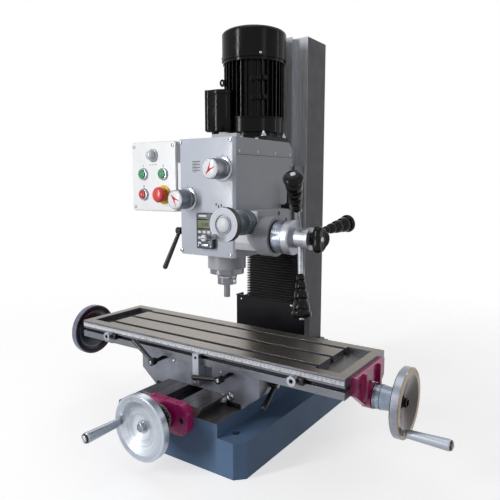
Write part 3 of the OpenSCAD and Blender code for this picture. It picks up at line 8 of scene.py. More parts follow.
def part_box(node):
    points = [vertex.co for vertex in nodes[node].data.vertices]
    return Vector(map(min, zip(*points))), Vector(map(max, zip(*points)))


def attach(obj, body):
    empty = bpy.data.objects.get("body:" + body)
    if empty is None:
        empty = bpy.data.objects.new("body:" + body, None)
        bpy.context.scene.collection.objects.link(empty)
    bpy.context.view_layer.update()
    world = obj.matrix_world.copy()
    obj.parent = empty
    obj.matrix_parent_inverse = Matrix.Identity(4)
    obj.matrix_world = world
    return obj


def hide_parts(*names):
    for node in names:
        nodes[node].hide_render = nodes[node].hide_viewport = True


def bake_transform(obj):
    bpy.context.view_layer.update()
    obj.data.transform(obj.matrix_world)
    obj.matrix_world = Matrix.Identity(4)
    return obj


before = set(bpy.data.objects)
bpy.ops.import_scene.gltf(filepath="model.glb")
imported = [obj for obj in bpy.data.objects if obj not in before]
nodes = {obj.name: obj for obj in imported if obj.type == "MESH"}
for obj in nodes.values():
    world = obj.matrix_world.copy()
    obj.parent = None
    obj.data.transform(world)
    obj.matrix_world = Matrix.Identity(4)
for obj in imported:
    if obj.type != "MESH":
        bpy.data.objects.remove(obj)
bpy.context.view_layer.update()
scene = bpy.context.scene
MM = 0.001


# A node's lowest and highest corner in millimetres, as the frame states them
def corner(node, high):
    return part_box(node)[high] / MM


def corners(node):
    return corner(node, 0), corner(node, 1)


# Faces and axes of the CAD model in millimetres
HEAD_X = 86
PLATE_Y = -157
HEAD_Z = 461
SEAM_Z = 706
PLATE_TOP = 746
RANGE_KNOB = (50, 672)
SPEED_KNOB = (-58, 599)
FEED = Vector((0, -126.5, 517))
FINE = Vector((121, 0, 549))
X_SCREW = Vector((0, -109, 186))
Y_SCREW_Z = 110
Z_SCREW_Y = 219
MOTOR_Y = 51
SPINDLE_Y = -74
TABLE_FRONT = corner("table", 0).y
TABLE_END = corner("table", 1).x
SADDLE_FRONT = -202
X, Y, Z = Vector((1, 0, 0)), Vector((0, 1, 0)), Vector((0, 0, 1))


def add(name, data):
    made = bpy.data.objects.new(name, data)
    scene.collection.objects.link(made)
    return made


# Camera at the photograph's place
def set_camera():
    data = bpy.data.cameras.new("camera")
    data.sensor_width = 36
    data.lens = 37.86
    data.clip_end = 50
    camera = add("camera", data)
    right = Vector((0.8261, 0.5635, 0.0)).normalized()
    forward = Vector((-0.5588, 0.8192, -0.1288)).normalized()
    up = right.cross(forward).normalized()
    right = forward.cross(up)
    turn = Matrix((right, up, -forward)).transposed().to_4x4()
    camera.matrix_world = Matrix.Translation(Vector((809.4, -1154.4, 642.0)) * MM) @ turn
    scene.camera = camera


# Shader building
def rgb(r, g, b):
    def linear(v):
        v /= 255
        return v / 12.92 if v <= 0.04045 else ((v + 0.055) / 1.055) ** 2.4
    return (linear(r), linear(g), linear(b), 1.0)


def tint(colour, share):
    return tuple(min(1.0, c * share) for c in colour[:3]) + (1.0,)


class Shader:
    """A node material, or the world, with textures laid out in the object's own metres."""

    def __init__(self, name, owner=None):
        self.owner = owner or bpy.data.materials.new(name)
        self.owner.use_nodes = True
        self.tree = self.owner.node_tree
        self.bsdf = self.tree.nodes.get("Principled BSDF")
        self.coord = self.node("ShaderNodeTexCoord").outputs["Object"]

    def put(self, socket, value):
        if isinstance(value, bpy.types.NodeSocket):
            self.tree.links.new(value, socket)
        else:
            socket.default_value = value

    def node(self, kind, inputs=None, **settings):
        made = self.tree.nodes.new(kind)
        for key, value in settings.items():
            setattr(made, key, value)
        for key, value in (inputs or {}).items():
            self.put(made.inputs[key], value)
        return made

    def math(self, operation, a, b=0.0):
        return self.node("ShaderNodeMath", {0: a, 1: b}, operation=operation).outputs[0]

    def times(self, a, b):
        return self.math("MULTIPLY", a, b)

    def vector(self, operation, a, b=(0, 0, 0)):
        return self.node("ShaderNodeVectorMath", {0: a, 1: b}, operation=operation).outputs

    def noise(self, scale, detail=3.0, stretch=None):
        where = self.coord
        if stretch:
            where = self.node("ShaderNodeMapping", {"Vector": where, "Scale": stretch}).outputs[0]
        inputs = {"Vector": where, "Scale": scale, "Detail": detail, "Roughness": 0.55}
        return self.node("ShaderNodeTexNoise", inputs).outputs[0]

    def span(self, value, low, high, to_low=0.0, to_high=1.0):
        return self.node("ShaderNodeMapRange", {0: value, 1: low, 2: high, 3: to_low, 4: to_high}).outputs[0]

    def mix(self, share, a, b):
        return self.node("ShaderNodeMix", {0: share, 6: a, 7: b}, data_type="RGBA").outputs[2]

    def axis(self, name, vector=None):
        where = self.coord if vector is None else vector
        return self.node("ShaderNodeSeparateXYZ", {0: where}).outputs[name]

    def radius(self, centre, axis):
        """Distance in metres from an axis along X, Y or Z through centre."""
        away = self.vector("SUBTRACT", self.coord, centre)[0]
        keep = [0.0 if a == axis else 1.0 for a in "XYZ"]
        return self.vector("LENGTH", self.vector("MULTIPLY", away, keep)[0])["Value"]

    def upward(self):
        """One on faces that look up in the object's own frame, zero elsewhere."""
        return self.span(self.axis("Z", self.node("ShaderNodeNewGeometry").outputs["Normal"]), 0.6, 0.9)

    def edges(self, size):
        """Rounds the normal, and says how near a point is to a convex or hollow edge."""
        self.rounded = self.node("ShaderNodeBevel", {"Radius": size}, samples=4).outputs[0]
        true = self.node("ShaderNodeNewGeometry").outputs["Normal"]
        return self.span(self.vector("DOT_PRODUCT", self.rounded, true)["Value"], 0.995, 0.86)

    def bump(self, height, depth):
        inputs = {"Height": height, "Distance": depth, "Strength": 1.0, "Normal": self.rounded}
        return self.node("ShaderNodeBump", inputs).outputs[0]

    def seen(self):
        """One for rays that look at the scene, straight, mirrored or through glass, zero for the rest."""
        path = self.node("ShaderNodeLightPath").outputs
        mirrored = self.math("MAXIMUM", path["Is Glossy Ray"], path["Is Transmission Ray"])
        return self.math("MAXIMUM", path["Is Camera Ray"], mirrored)

    def wear(self, colour, rough, metal=0.0, **others):
        inputs = {"Base Color": colour, "Roughness": rough, "Metallic": metal, **others}
        for key, value in inputs.items():
            self.put(self.bsdf.inputs[key.replace("_", " ")], value)
        return self.owner


def paint(name, colour, rough, coat, size=0.0009, cloud=0.1, peel=0.00012, worn=None, hide=None, gloss=0.5):
    """Machine enamel: slow colour clouds, dark specks, orange peel and rubbed edges."""
    s = Shader(name)
    edge = s.edges(size)
    clouds = s.noise(9.0, 4.0)
    speck = s.noise(420.0, 2.0)
    base = s.mix(s.span(clouds, 0.3, 0.7), tint(colour, 1 - cloud), tint(colour, 1 + cloud))
    base = s.mix(s.times(s.span(speck, 0.62, 0.78), 0.25), base, tint(colour, 0.55))
    rub = s.times(edge, s.span(s.noise(60.0, 3.0), 0.35, 0.7))
    base = s.mix(s.times(rub, 0.55), base, worn or tint(colour, 1.7))
    roughness = s.span(s.noise(35.0, 4.0), 0.3, 0.7, rough - 0.08, rough + 0.1)
    metal = 0.0
    if hide is not None:
        share, bare_and_shade, bare_rough, bare_metal = hide(s)
        base = s.mix(share, base, bare_and_shade)
        roughness = s.node("ShaderNodeMix", {0: share, 2: roughness, 3: bare_rough}).outputs[0]
        metal = s.times(share, bare_metal)
    normal = s.bump(s.noise(650.0, 2.0), peel)
    return s.wear(base, roughness, metal, Normal=normal, Coat_Weight=coat, Coat_Roughness=0.12,
                  Specular_IOR_Level=gloss)


def metal(name, colour, rough, stretch=(1, 1, 1), grain=700.0, depth=0.00003, stain_and_reflection=0.25, metallic=0.92,
          up=None, hide=None):
    """Machined steel or iron: tool marks along one way, stains, bright edges that are painted highlight, and
    where hide asks, a colour over the top, which on the table is painted shade.
    """
    s = Shader(name)
    edge = s.edges(0.0006)
    marks = s.noise(grain, 3.0, stretch)
    clouds = s.noise(14.0, 5.0)
    base = s.mix(s.span(clouds, 0.3, 0.72), tint(colour, 1 - stain_and_reflection), colour)
    base = s.mix(s.span(marks, 0.2, 0.8, 0.0, 0.35), base, tint(colour, 0.6))
    if up is not None:
        base = s.mix(s.times(s.upward(), 0.9), base, up)
    # Bright edges: painted highlight
    base = s.mix(s.times(edge, 0.6), base, tint(colour, 2.2))
    # hide lays a colour over part of the surface; on the table it is painted shade in the groove and trough
    if hide is not None:
        share, bare_and_shade = hide(s)
        base = s.mix(share, base, bare_and_shade)
    roughness = s.span(marks, 0.25, 0.75, rough - 0.08, rough + 0.12)
    return s.wear(base, roughness, metallic, Normal=s.bump(marks, depth))


def turned(name, colour, centre, axis, rough, rings=900.0, depth=0.00002, metallic=0.96, zones=(),
           ahead=None, stain_and_reflection=0.3):
    """Lathe-turned metal: fine rings about its axis, broad dark rings of painted reflection, dark clouds that
    are partly handling marks and partly painted reflection, and bright edges that are painted highlight.
    """
    s = Shader(name)
    edge = s.edges(0.0008)
    away = s.radius(Vector(centre) * MM, axis)
    lane = s.node("ShaderNodeCombineXYZ", {0: away}).outputs[0]
    ring = s.node("ShaderNodeTexNoise", {"Vector": lane, "Scale": rings, "Detail": 4.0}).outputs[0]
    broad = s.node("ShaderNodeTexNoise", {"Vector": lane, "Scale": rings / 9, "Detail": 2.0}).outputs[0]
    base = colour
    if ahead is not None:
        place, other = ahead
        base = s.mix(s.span(s.axis(axis), place * MM, (place - 0.5) * MM), base, other)
    for start, zone in zones:
        base = s.mix(s.span(away, start * MM, (start + 0.4) * MM), base, zone)
    # Broad dark rings about the axis: painted reflection
    base = s.mix(s.span(broad, 0.35, 0.65, 0.3, 0.0), base, (0.02, 0.02, 0.022, 1))
    # Dark clouds: partly handling marks, partly painted reflection
    base = s.mix(s.span(s.noise(22.0, 4.0), 0.42, 0.72, 0.0, stain_and_reflection), base, (0.03, 0.028, 0.026, 1))
    # Bright edges: painted highlight
    base = s.mix(s.times(edge, 0.45), base, tint(colour, 1.8))
    roughness = s.span(ring, 0.25, 0.75, rough - 0.07, rough + 0.1)
    return s.wear(base, roughness, metallic, Normal=s.bump(ring, depth))


def plastic(name, colour, rough, coat, grain=0.00004, sheen=0.0, gloss=0.5):
    """Moulded plastic or rubber: faint grain, scuffs, and soft edges lightened as painted highlight."""
    s = Shader(name)
    edge = s.edges(0.0008)
    scuff = s.noise(45.0, 5.0)
    base = s.mix(s.span(scuff, 0.45, 0.75, 0.0, 0.4), colour, tint(colour, 0.72))
    # Lighter edges: painted highlight
    base = s.mix(s.times(edge, 0.3), base, tint(colour, 1.6))
    roughness = s.span(scuff, 0.3, 0.7, rough - 0.06, rough + 0.12)
    normal = s.bump(s.noise(1400.0, 2.0), grain)
    return s.wear(base, roughness, 0.0, Normal=normal, Coat_Weight=coat, Coat_Roughness=0.08,
                  Sheen_Weight=sheen, Specular_IOR_Level=gloss)


# Machined faces of castings, and painted shade in the table's groove and trough, told apart by where they
# stand, in metres
def base_ways(s):
    """The ground top of the base, ahead of the column."""
    high = s.span(s.axis("Z"), 0.1152, 0.1156)
    ahead = s.span(s.axis("Y"), 0.1255, 0.1250)
    inside = s.span(s.math("ABSOLUTE", s.axis("X")), 0.1358, 0.1354)
    share = s.times(s.times(high, ahead), inside)
    streak = s.noise(500.0, 3.0, (1.0, 0.05, 1.0))
    broad = s.noise(45.0, 4.0, (1.0, 0.08, 1.0))
    bare_and_shade = s.mix(s.span(streak, 0.3, 0.7), rgb(76, 73, 75), rgb(136, 134, 138))
    bare_and_shade = s.mix(s.span(broad, 0.4, 0.75, 0.0, 0.6), bare_and_shade, rgb(52, 42, 38))
    return share, bare_and_shade, 0.34, 0.6


def column_land(s):
    """The ground front of the column."""
    share = s.span(s.axis("Y"), 0.1662, 0.1656)
    streak = s.noise(500.0, 3.0, (1.0, 1.0, 0.05))
    bare_and_shade = s.mix(s.span(streak, 0.3, 0.7), rgb(186, 190, 197), rgb(226, 229, 234))
    return share, bare_and_shade, 0.42, 0.1


def table_groove_shade(s):
    """Painted shade: a dark colour in the stop groove in the table's front, and on the low floors on its top.
    """
    height, y = s.axis("Z"), s.axis("Y")
    inside = s.times(s.span(height, 0.2228, 0.2236), s.span(height, 0.2332, 0.2324))
    deep = s.times(s.span(y, -0.2186, -0.2180), s.span(y, -0.190, -0.191))
    trough = s.times(s.span(height, 0.2436, 0.2430), s.span(y, -0.216, -0.2158))
    trough = s.times(trough, s.upward())
    # The groove gets the painted shade in full, the trough's floors at 0.7
    share = s.math("MAXIMUM", s.times(inside, deep), s.times(trough, 0.7))
    return share, rgb(36, 38, 46)


# Colours read from the photograph
GOLD = rgb(150, 130, 104)
SILVER = rgb(150, 155, 166)
mats = {
    "blue": paint("blue enamel", rgb(90, 114, 144), 0.42, 0.0, worn=rgb(150, 168, 192), hide=base_ways,
                  gloss=0.12),
    "column": paint("column enamel", rgb(92, 92, 96), 0.5, 0.0, worn=rgb(160, 160, 164), hide=column_land,
                    gloss=0.2),
    "slide": paint("slide enamel", rgb(112, 112, 118), 0.48, 0.0, gloss=0.35),
    "head": paint("head enamel", rgb(160, 162, 170), 0.42, 0.1, cloud=0.05, worn=rgb(215, 218, 224),
                  gloss=0.4),
    "pad": paint("pad enamel", rgb(214, 211, 219), 0.36, 0.12, cloud=0.04, worn=rgb(238, 236, 242),
                 gloss=0.4),
    "plate": paint("plate enamel", rgb(184, 190, 202), 0.36, 0.12, cloud=0.04, worn=rgb(232, 238, 246),
                   gloss=0.4),
    "magenta": paint("magenta enamel", rgb(176, 26, 104), 0.28, 0.3, size=0.0016, cloud=0.18,
                     worn=rgb(226, 120, 182)),
    "motor": paint("motor enamel", rgb(8, 8, 10), 0.14, 0.0, size=0.0012, cloud=0.1, peel=0.00005,
                   worn=rgb(46, 48, 54), gloss=0.12),
    "sheet": paint("black sheet", rgb(15, 15, 19), 0.4, 0.0, worn=rgb(70, 70, 76), gloss=0.14),
    "white": paint("white enamel", rgb(238, 240, 242), 0.34, 0.1, size=0.0012, cloud=0.03,
                   worn=rgb(246, 247, 248)),
    # The table's hide paints dark shade into its stop groove and trough floors
    "table": metal("ground table", rgb(124, 126, 134), 0.3, (0.04, 1, 1), metallic=0.75,
                   up=rgb(118, 109, 98), hide=table_groove_shade),
    "saddle": metal("ground saddle", rgb(138, 142, 154), 0.36, (1, 0.05, 1), metallic=0.6, stain_and_reflection=0.5),
    "steel": metal("steel", rgb(128, 129, 135), 0.2, (1, 1, 0.2)),
    "bright": metal("bright steel", rgb(170, 174, 182), 0.2, stain_and_reflection=0.12),
    "chrome": metal("chrome", rgb(214, 217, 223), 0.1, stain_and_reflection=0.05, depth=0.000008, metallic=1.0),
    "oxide": metal("black oxide", rgb(15, 15, 17), 0.24, grain=400.0, metallic=0.2, stain_and_reflection=0.3),
    "bronze": metal("bronze", rgb(150, 116, 66), 0.35),
    "grip": plastic("grip plastic", rgb(8, 8, 10), 0.14, 0.0, gloss=0.16),
    "grip_metal": metal("grip metal", rgb(176, 184, 195), 0.28, stain_and_reflection=0.1, metallic=0.7),
    "rubber": plastic("rubber cloth", rgb(13, 13, 14), 0.5, 0.0, grain=0.0003, sheen=0.1, gloss=0.25),
    "ink": plastic("black ink", rgb(16, 16, 18), 0.5, 0.0, gloss=0.2),
    "pale_ink": plastic("pale ink", rgb(232, 234, 236), 0.5, 0.0),
    "scale": plastic("scale enamel", rgb(214, 217, 222), 0.4, 0.0),
    "green": plastic("green button", rgb(16, 140, 84), 0.25, 0.2),
    "red": plastic("red button", rgb(190, 22, 30), 0.25, 0.2),
    "mushroom": plastic("mushroom button", rgb(214, 52, 52), 0.3, 0.15),
    "yellow": plastic("yellow ring", rgb(226, 184, 28), 0.35, 0.1),
    "arrow": plastic("red arrow", rgb(214, 8, 44), 0.5, 0.0, gloss=0.15),
    "face": plastic("knob face", rgb(232, 235, 240), 0.3, 0.1),
    "lens": plastic("lamp lens", rgb(196, 200, 206), 0.12, 0.4),
    "readout": plastic("readout case", rgb(34, 42, 56), 0.4, 0.05),
    "lcd": plastic("readout window", rgb(118, 124, 96), 0.4, 0.0, gloss=0.2),
    "key": plastic("readout key", rgb(206, 208, 212), 0.35, 0.0),
    "feed_dial": turned("feed dial", rgb(166, 177, 193), FEED, "X", 0.32, metallic=0.6),
    "x_dial": turned("table dial", rgb(158, 171, 190), X_SCREW, "X", 0.26),
    "y_dial": turned("cross dial", rgb(34, 36, 40), (0, 0, Y_SCREW_Z), "Y", 0.34, metallic=0.5),
    "fine": turned("fine feed", rgb(112, 124, 134), FINE, "Y", 0.5, metallic=0.1, stain_and_reflection=0.1,
                   ahead=(-221, rgb(200, 205, 214)), zones=((37.2, rgb(40, 38, 42)),)),
    "hub": turned("feed hub", rgb(188, 191, 200), FEED, "X", 0.34, metallic=0.5, stain_and_reflection=0.15),
    # The handwheels' strong dark clouds are partly painted reflection
    "x_wheel": turned("right wheel", rgb(72, 64, 62), X_SCREW, "X", 0.2, 700.0, 0.00003,
                      zones=((59, GOLD), (74.2, SILVER)), stain_and_reflection=0.55),
    "left_wheel": turned("left wheel", rgb(72, 78, 82), X_SCREW, "X", 0.22, 700.0, 0.00003, metallic=0.8,
                         zones=((52, rgb(150, 156, 164)), (53.6, rgb(74, 68, 70)), (70, rgb(104, 108, 124)),
                                (74.2, rgb(128, 134, 152))), stain_and_reflection=0.55),
    "y_wheel": turned("front wheel", rgb(206, 213, 223), (0, 0, Y_SCREW_Z), "Y", 0.26, 700.0, 0.00003,
                      metallic=0.8, zones=((60, rgb(190, 198, 210)),)),
    "knob": turned("knob body", rgb(150, 153, 160), (RANGE_KNOB[0], 0, RANGE_KNOB[1]), "Y", 0.3),
}

dress = {
    "blue": "base", "column": "column", "slide": "head_slide", "head": "head_housing top_cover feed_housing",
    "plate": "front_plate", "magenta": "front_bracket right_bracket left_bracket",
    "motor": "motor_frame fan_cowl terminal_box", "sheet": "way_cover", "white": "control_box",
    "table": "table", "saddle": "saddle",
    "steel": "z_screw z_crank x_screw y_screw motor_rotor layshaft drive_sleeve feed_shaft head_bearings"
             " quill spindle tool_arbor",
    "bright": "stop_block left_stop right_stop", "grip_metal": "right_grip front_grip",
    "oxide": "column_bolts table_lock_left table_lock_right saddle_lock head_clamp quill_lock",
    "bronze": "feed_nuts worm_wheel", "grip": "downfeed_grips star_knob", "rubber": "bellows",
    "green": "start_button reverse_button", "red": "stop_button emergency_stop", "readout": "depth_readout",
    "feed_dial": "feed_dial", "x_dial": "x_dials", "y_dial": "y_dial", "fine": "fine_wheel",
    "hub": "downfeed_hub", "x_wheel": "right_handwheel", "left_wheel": "left_handwheel",
    "y_wheel": "front_handwheel", "knob": "range_knob speed_knob",
}
for key, names in dress.items():
    for name in names.split():
        slots = nodes[name].data.materials
        slots.clear()
        slots.append(mats[key])


def skin(bm, rings):
    """Faces from ring to ring and over both ends, where a ring may be a single point."""
    for low, high in zip(rings, rings[1:]):
        n = max(len(low), len(high))
        for k in range(n if n > 1 else 0):
            j = (k + 1) % n
            if len(low) == 1:
                face = (low[0], high[k], high[j])
            elif len(high) == 1:
                face = (low[k], low[j], high[0])
            else:
                face = (low[k], low[j], high[j], high[k])
            bm.faces.new(face)
    for ring in (rings[0], rings[-1]):
        if len(ring) > 1:
            bm.faces.new(ring)


def spoke(degrees, axis):
    """A unit vector at an angle round axis 0, 1 or 2."""
    a = math.radians(degrees)
    out = [math.cos(a), math.sin(a)]
    out.insert(axis, 0.0)
    return Vector(out)


def arc(x, y, rx, ry, start, end, steps=12):
    """Points along an ellipse about (x, y), by degrees."""
    angles = [math.radians(start + (end - start) * k / steps) for k in range(steps + 1)]
    return [(x + rx * math.cos(a), y + ry * math.sin(a)) for a in angles]


def rounded(w, h, r, x, y):
    """A rounded rectangle about (x, y)."""
    points = []
    for sx, sy, start in ((1, 1, 0), (-1, 1, 90), (-1, -1, 180), (1, -1, 270)):
        points += arc(x + sx * (w / 2 - r), y + sy * (h / 2 - r), r, r, start, start + 90, 5)
    return points


def looking(way, up=Z):
    """A frame whose own Z looks along way and whose own Y looks up."""
    way = Vector(way).normalized()
    across = Vector(up).cross(way).normalized()
    return Matrix((across, way.cross(across), way)).transposed().to_4x4()


def at(point, turn):
    return Matrix.Translation(Vector(point)) @ turn


FRONT = looking(-Y)
LEFT = looking(-X)


# Shapes drawn in millimetres and joined into one piece
class Piece:
    def __init__(self):
        self.bm = bmesh.new()

    def join(self, bm, bevel=0.0, segments=2, turn=None):
        bmesh.ops.recalc_face_normals(bm, faces=bm.faces[:])
        if bevel:
            sharp = [e for e in bm.edges if len(e.link_faces) == 2 and e.calc_face_angle(0.0) > 0.5]
            bmesh.ops.bevel(bm, geom=sharp, offset=bevel, segments=segments, profile=0.5, affect="EDGES")
        if turn is not None:
            bmesh.ops.transform(bm, matrix=turn, verts=bm.verts[:])
        mesh = bpy.data.meshes.new("shape")
        bm.to_mesh(mesh)
        bm.free()
        self.bm.from_mesh(mesh)
        bpy.data.meshes.remove(mesh)
        return self

    def box(self, low, high, bevel=0.0, segments=2, turn=None):
        bm = bmesh.new()
        bmesh.ops.create_cube(bm, size=1.0)
        low, high = Vector(low), Vector(high)
        size = high - low
        for v in bm.verts:
            v.co = Vector([low[i] + (v.co[i] + 0.5) * size[i] for i in range(3)])
        return self.join(bm, bevel, segments, turn)

    def prism(self, outline, axis, low, high, bevel=0.0, segments=2, turn=None):
        """An outline in the other two axes, drawn out along axis 0, 1 or 2."""
        bm = bmesh.new()
        rings = []
        for level in (low, high):
            points = [list(point) for point in outline]
            for point in points:
                point.insert(axis, level)
            rings.append([bm.verts.new(point) for point in points])
        skin(bm, rings)
        return self.join(bm, bevel, segments, turn)

    def lathe(self, profile, origin, way, steps=64, wave=None):
        """Turns (radius, height) points round the line from origin along way."""
        bm = bmesh.new()
        way = Vector(way).normalized()
        side = way.orthogonal().normalized() if abs(way.x) < 0.99 else Vector((0, 1, 0))
        other = way.cross(side)
        origin = Vector(origin)
        rings = []
        for r, t in profile:
            base = origin + way * t
            if r < 1e-6:
                rings.append([bm.verts.new(base)])
                continue
            ring = []
            for k in range(steps):
                a = 2 * math.pi * k / steps
                out = r * (wave(a, r, t) if wave else 1.0)
                ring.append(bm.verts.new(base + (side * math.cos(a) + other * math.sin(a)) * out))
            rings.append(ring)
        skin(bm, rings)
        return self.join(bm)

    def band(self, inner, outer, h, origin, way, steps=56):
        """A plain ring of height h."""
        return self.lathe([(inner, 0), (outer, 0), (outer, h), (inner, h)], origin, way, steps)

    def hexagon(self, origin, way, r, h, bevel=0.6):
        """A hex head on a round washer."""
        washer, lip = r * 1.25, h * 0.18
        self.lathe([(0, 0), (washer, 0), (washer, lip), (0, lip)], origin, way, 32)
        bm = bmesh.new()
        bmesh.ops.create_cone(bm, cap_ends=True, segments=6, radius1=r, radius2=r, depth=h)
        turn = Z.rotation_difference(way).to_matrix().to_4x4()
        return self.join(bm, bevel, 2, at(Vector(origin) + way * h * 0.6, turn))

    def socket(self, origin, way, r, h):
        """A socket screw's head with its hollow."""
        hollow, floor = r * 0.5, h * 0.3
        return self.lathe([(0, floor), (hollow, floor), (hollow, h), (r * 0.88, h), (r, h * 0.86), (r, 0),
                           (0, 0)], origin, way, 24)

    def ring_marks(self, origin, way, r, spans, count, width):
        """Graduations along a drum: spans gives (every, start, end) from the longest to the shortest."""
        side = way.orthogonal().normalized()
        other = way.cross(side)
        for k in range(count):
            start, end = next((s[1], s[2]) for s in spans if k % s[0] == 0)
            a = 2 * math.pi * k / count
            out = side * math.cos(a) + other * math.sin(a)
            turn = at(origin, Matrix((way.cross(out), out, way)).transposed().to_4x4())
            self.box((-width / 2, r - 0.3, start), (width / 2, r + 0.12, end), turn=turn)

    def numbers(self, origin, way, r, size, count=10, step=1):
        """Numbers round a drum, with their feet towards its back."""
        for k in range(count):
            out = spoke(360 * k / count, 0 if way.x else 1)
            self.text(str(k * step), size, at(origin + out * r, looking(out, way)), 0.2)

    def text(self, words, size, turn, thick):
        data = bpy.data.curves.new("text", "FONT")
        data.body = words
        data.size = size
        data.extrude = thick
        data.align_x = "CENTER"
        data.align_y = "CENTER"
        data.resolution_u = 2
        made = bpy.data.objects.new("text", data)
        mesh = made.to_mesh()
        bm = bmesh.new()
        bm.from_mesh(mesh)
        made.to_mesh_clear()
        bpy.data.objects.remove(made)
        bpy.data.curves.remove(data)
        return self.join(bm, turn=turn)

    def shown(self, name, material):
        """The finished piece as an object of the scene, in metres."""
        for v in self.bm.verts:
            v.co *= MM
        for f in self.bm.faces:
            f.smooth = True
        for e in self.bm.edges:
            e.smooth = e.calc_face_angle(0.0) < 0.6 if len(e.link_faces) == 2 else True
        mesh = bpy.data.meshes.new(name)
        self.bm.to_mesh(mesh)
        self.bm.free()
        mesh.materials.append(material)
        return add(name, mesh)

    def done(self, name, body, material, slot=None, replaced="", spread=None):
        made = self.shown(name, mats[material])
        if replaced:
            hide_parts(*replaced.split())
        if spread:
            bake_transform(made)
        else:
            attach(made, body)


# Folded rubber cover between the chip plate and the slide
def bellows():
    low, high = corners("bellows")
    folds, depth, wall = 18, 9.0, 1.6
    rows = folds * 4
    bm = bmesh.new()
    loops = []
    for k in range(rows + 1):
        share = k / rows
        wave = abs(((share * folds) % 1) * 2 - 1)
        out = depth * (1 - wave) ** 0.8
        z = low.z + (high.z - low.z) * share
        loop = []
        for inset in (out, out + wall):
            w = high.x - inset
            y = low.y + inset
            side = [(-w, high.y), (-w, y + 5), (-w + 1.5, y + 1.5), (-w + 5, y)]
            front = [(-w + 5 + (2 * w - 10) * i / 8, y) for i in range(1, 8)]
            path = side + front + [(-x, v) for x, v in reversed(side)]
            loop.append([bm.verts.new((x, v, z)) for x, v in path])
        loops.append(loop[0] + loop[1][::-1])
    skin(bm, loops)
    Piece().join(bm).done("folded_cover", None, "rubber", "bellows", "bellows",
                          ("frame", "slide_body", (0, 0.13, low.z * MM), (0, 0.13, high.z * MM)))


def cover_frames():
    low, high = corners("bellows")
    reach = 84
    for name, body, z in (("cover_foot", "frame", low.z), ("cover_head", "slide_body", high.z - 3)):
        piece = Piece().box((-reach, low.y - 2, z), (reach, low.y + 1.5, z + 3), 0.5)
        for s in (-1, 1):
            piece.box((reach * s - 1.5, low.y - 2, z), (reach * s + 1.5, high.y, z + 3), 0.5)
            piece.socket((60 * s, low.y - 2, z + 1.5), -Y, 1.4, 1.2)
        piece.done(name, body, "sheet")


# Front plate with chamfered edges, its screws, lines in place of the charts and the knobs' rings
def front_plate():
    half, narrow, back, edge = 86, 79.5, -149, -151
    piece = Piece()
    piece.prism([(-half, back), (half, back), (half, edge), (narrow, PLATE_Y), (-narrow, PLATE_Y),
                 (-half, edge)], 2, HEAD_Z, PLATE_TOP, 0.7)
    piece.done("plate_casting", "head", "plate", "plate_grey", "front_plate")
    rings = Piece()
    for x, z in (RANGE_KNOB, SPEED_KNOB):
        rings.lathe([(7, 0), (28, 0), (29.5, 1), (29.5, 2), (28, 3), (7, 3)], (x, PLATE_Y, z), -Y, 72)
    rings.done("knob_rings", "head", "bright")
    screws = Piece()
    for x, z in ((-80, 738.5), (73, 738.5), (73, 468), (-80, 470.5)):
        screws.socket((x, PLATE_Y + 0.4, z), -Y, 4.6, 2.6)
    screws.done("plate_screws", "head", "bright")
    ink = Piece()
    low, high = PLATE_Y - 0.15, PLATE_Y + 0.3
    for k in range(4):
        z = 669 + k * 7
        ink.box((-42, low, z), (-17, high, z + 1.4))
        ink.box((-42, low, z - 3.4), (-28 + 3 * (k % 2), high, z - 2.4))
    for k, (x, z) in enumerate(((31, 588), (38, 584), (46, 586), (54, 581))):
        ink.box((x - 1.6, low, z - 3 - k % 2), (x + 1.6, high, z + 3))
    for x, z in (RANGE_KNOB, SPEED_KNOB):
        for degrees in (60, 90, 120):
            place = Vector((x, PLATE_Y, z)) + spoke(degrees, 1) * 31
            turn = at(place, FRONT @ Matrix.Rotation(math.radians(degrees - 90), 4, "Z"))
            ink.box((-0.6, -2.5, -0.3), (0.6, 2.5, 0.15), turn=turn)
    ink.done("plate_marks", "head", "ink")


# Speed knobs: grooved body, white face and a swept red arrow, turned by degrees
def knob(name, body, place, degrees):
    x, z = place
    y = PLATE_Y - 3.3
    flutes = 36

    def grooves(a, r, t):
        return 1.0 - 0.018 * (1 + math.cos(a * flutes)) * (r > 23.9 and 11 <= t <= 40)

    shade = Piece()
    shade.lathe([(6, -12), (6, 0), (22.5, 0), (24, 1.5), (24, 8), (23.2, 8.6), (23.2, 10.4), (24, 11),
                 (24, 40), (23.4, 43.5), (22.2, 44.6), (20.6, 44.6), (20.6, 43.4), (0, 43.4)],
                (x, y, z), -Y, flutes * 3, grooves)
    shade.done(name + "_body", body, "knob", "dial", name)
    face = Piece().lathe([(0, 0), (20.4, 0), (20.4, 1.6), (19.6, 2.1), (0, 2.1)], (x, y - 43.2, z), -Y)
    face.done(name + "_face", body, "face", "box_white")
    shape = [(0, 18.5), (2.8, 6), (9.4, -15), (0, 0.5), (-9.4, -15), (-2.8, 6)]
    turn = at((x, y - 45.2, z), FRONT @ Matrix.Rotation(math.radians(degrees), 4, "Z"))
    Piece().prism(shape, 2, -0.2, 0.35, turn=turn).done(name + "_arrow", body, "arrow", "red")


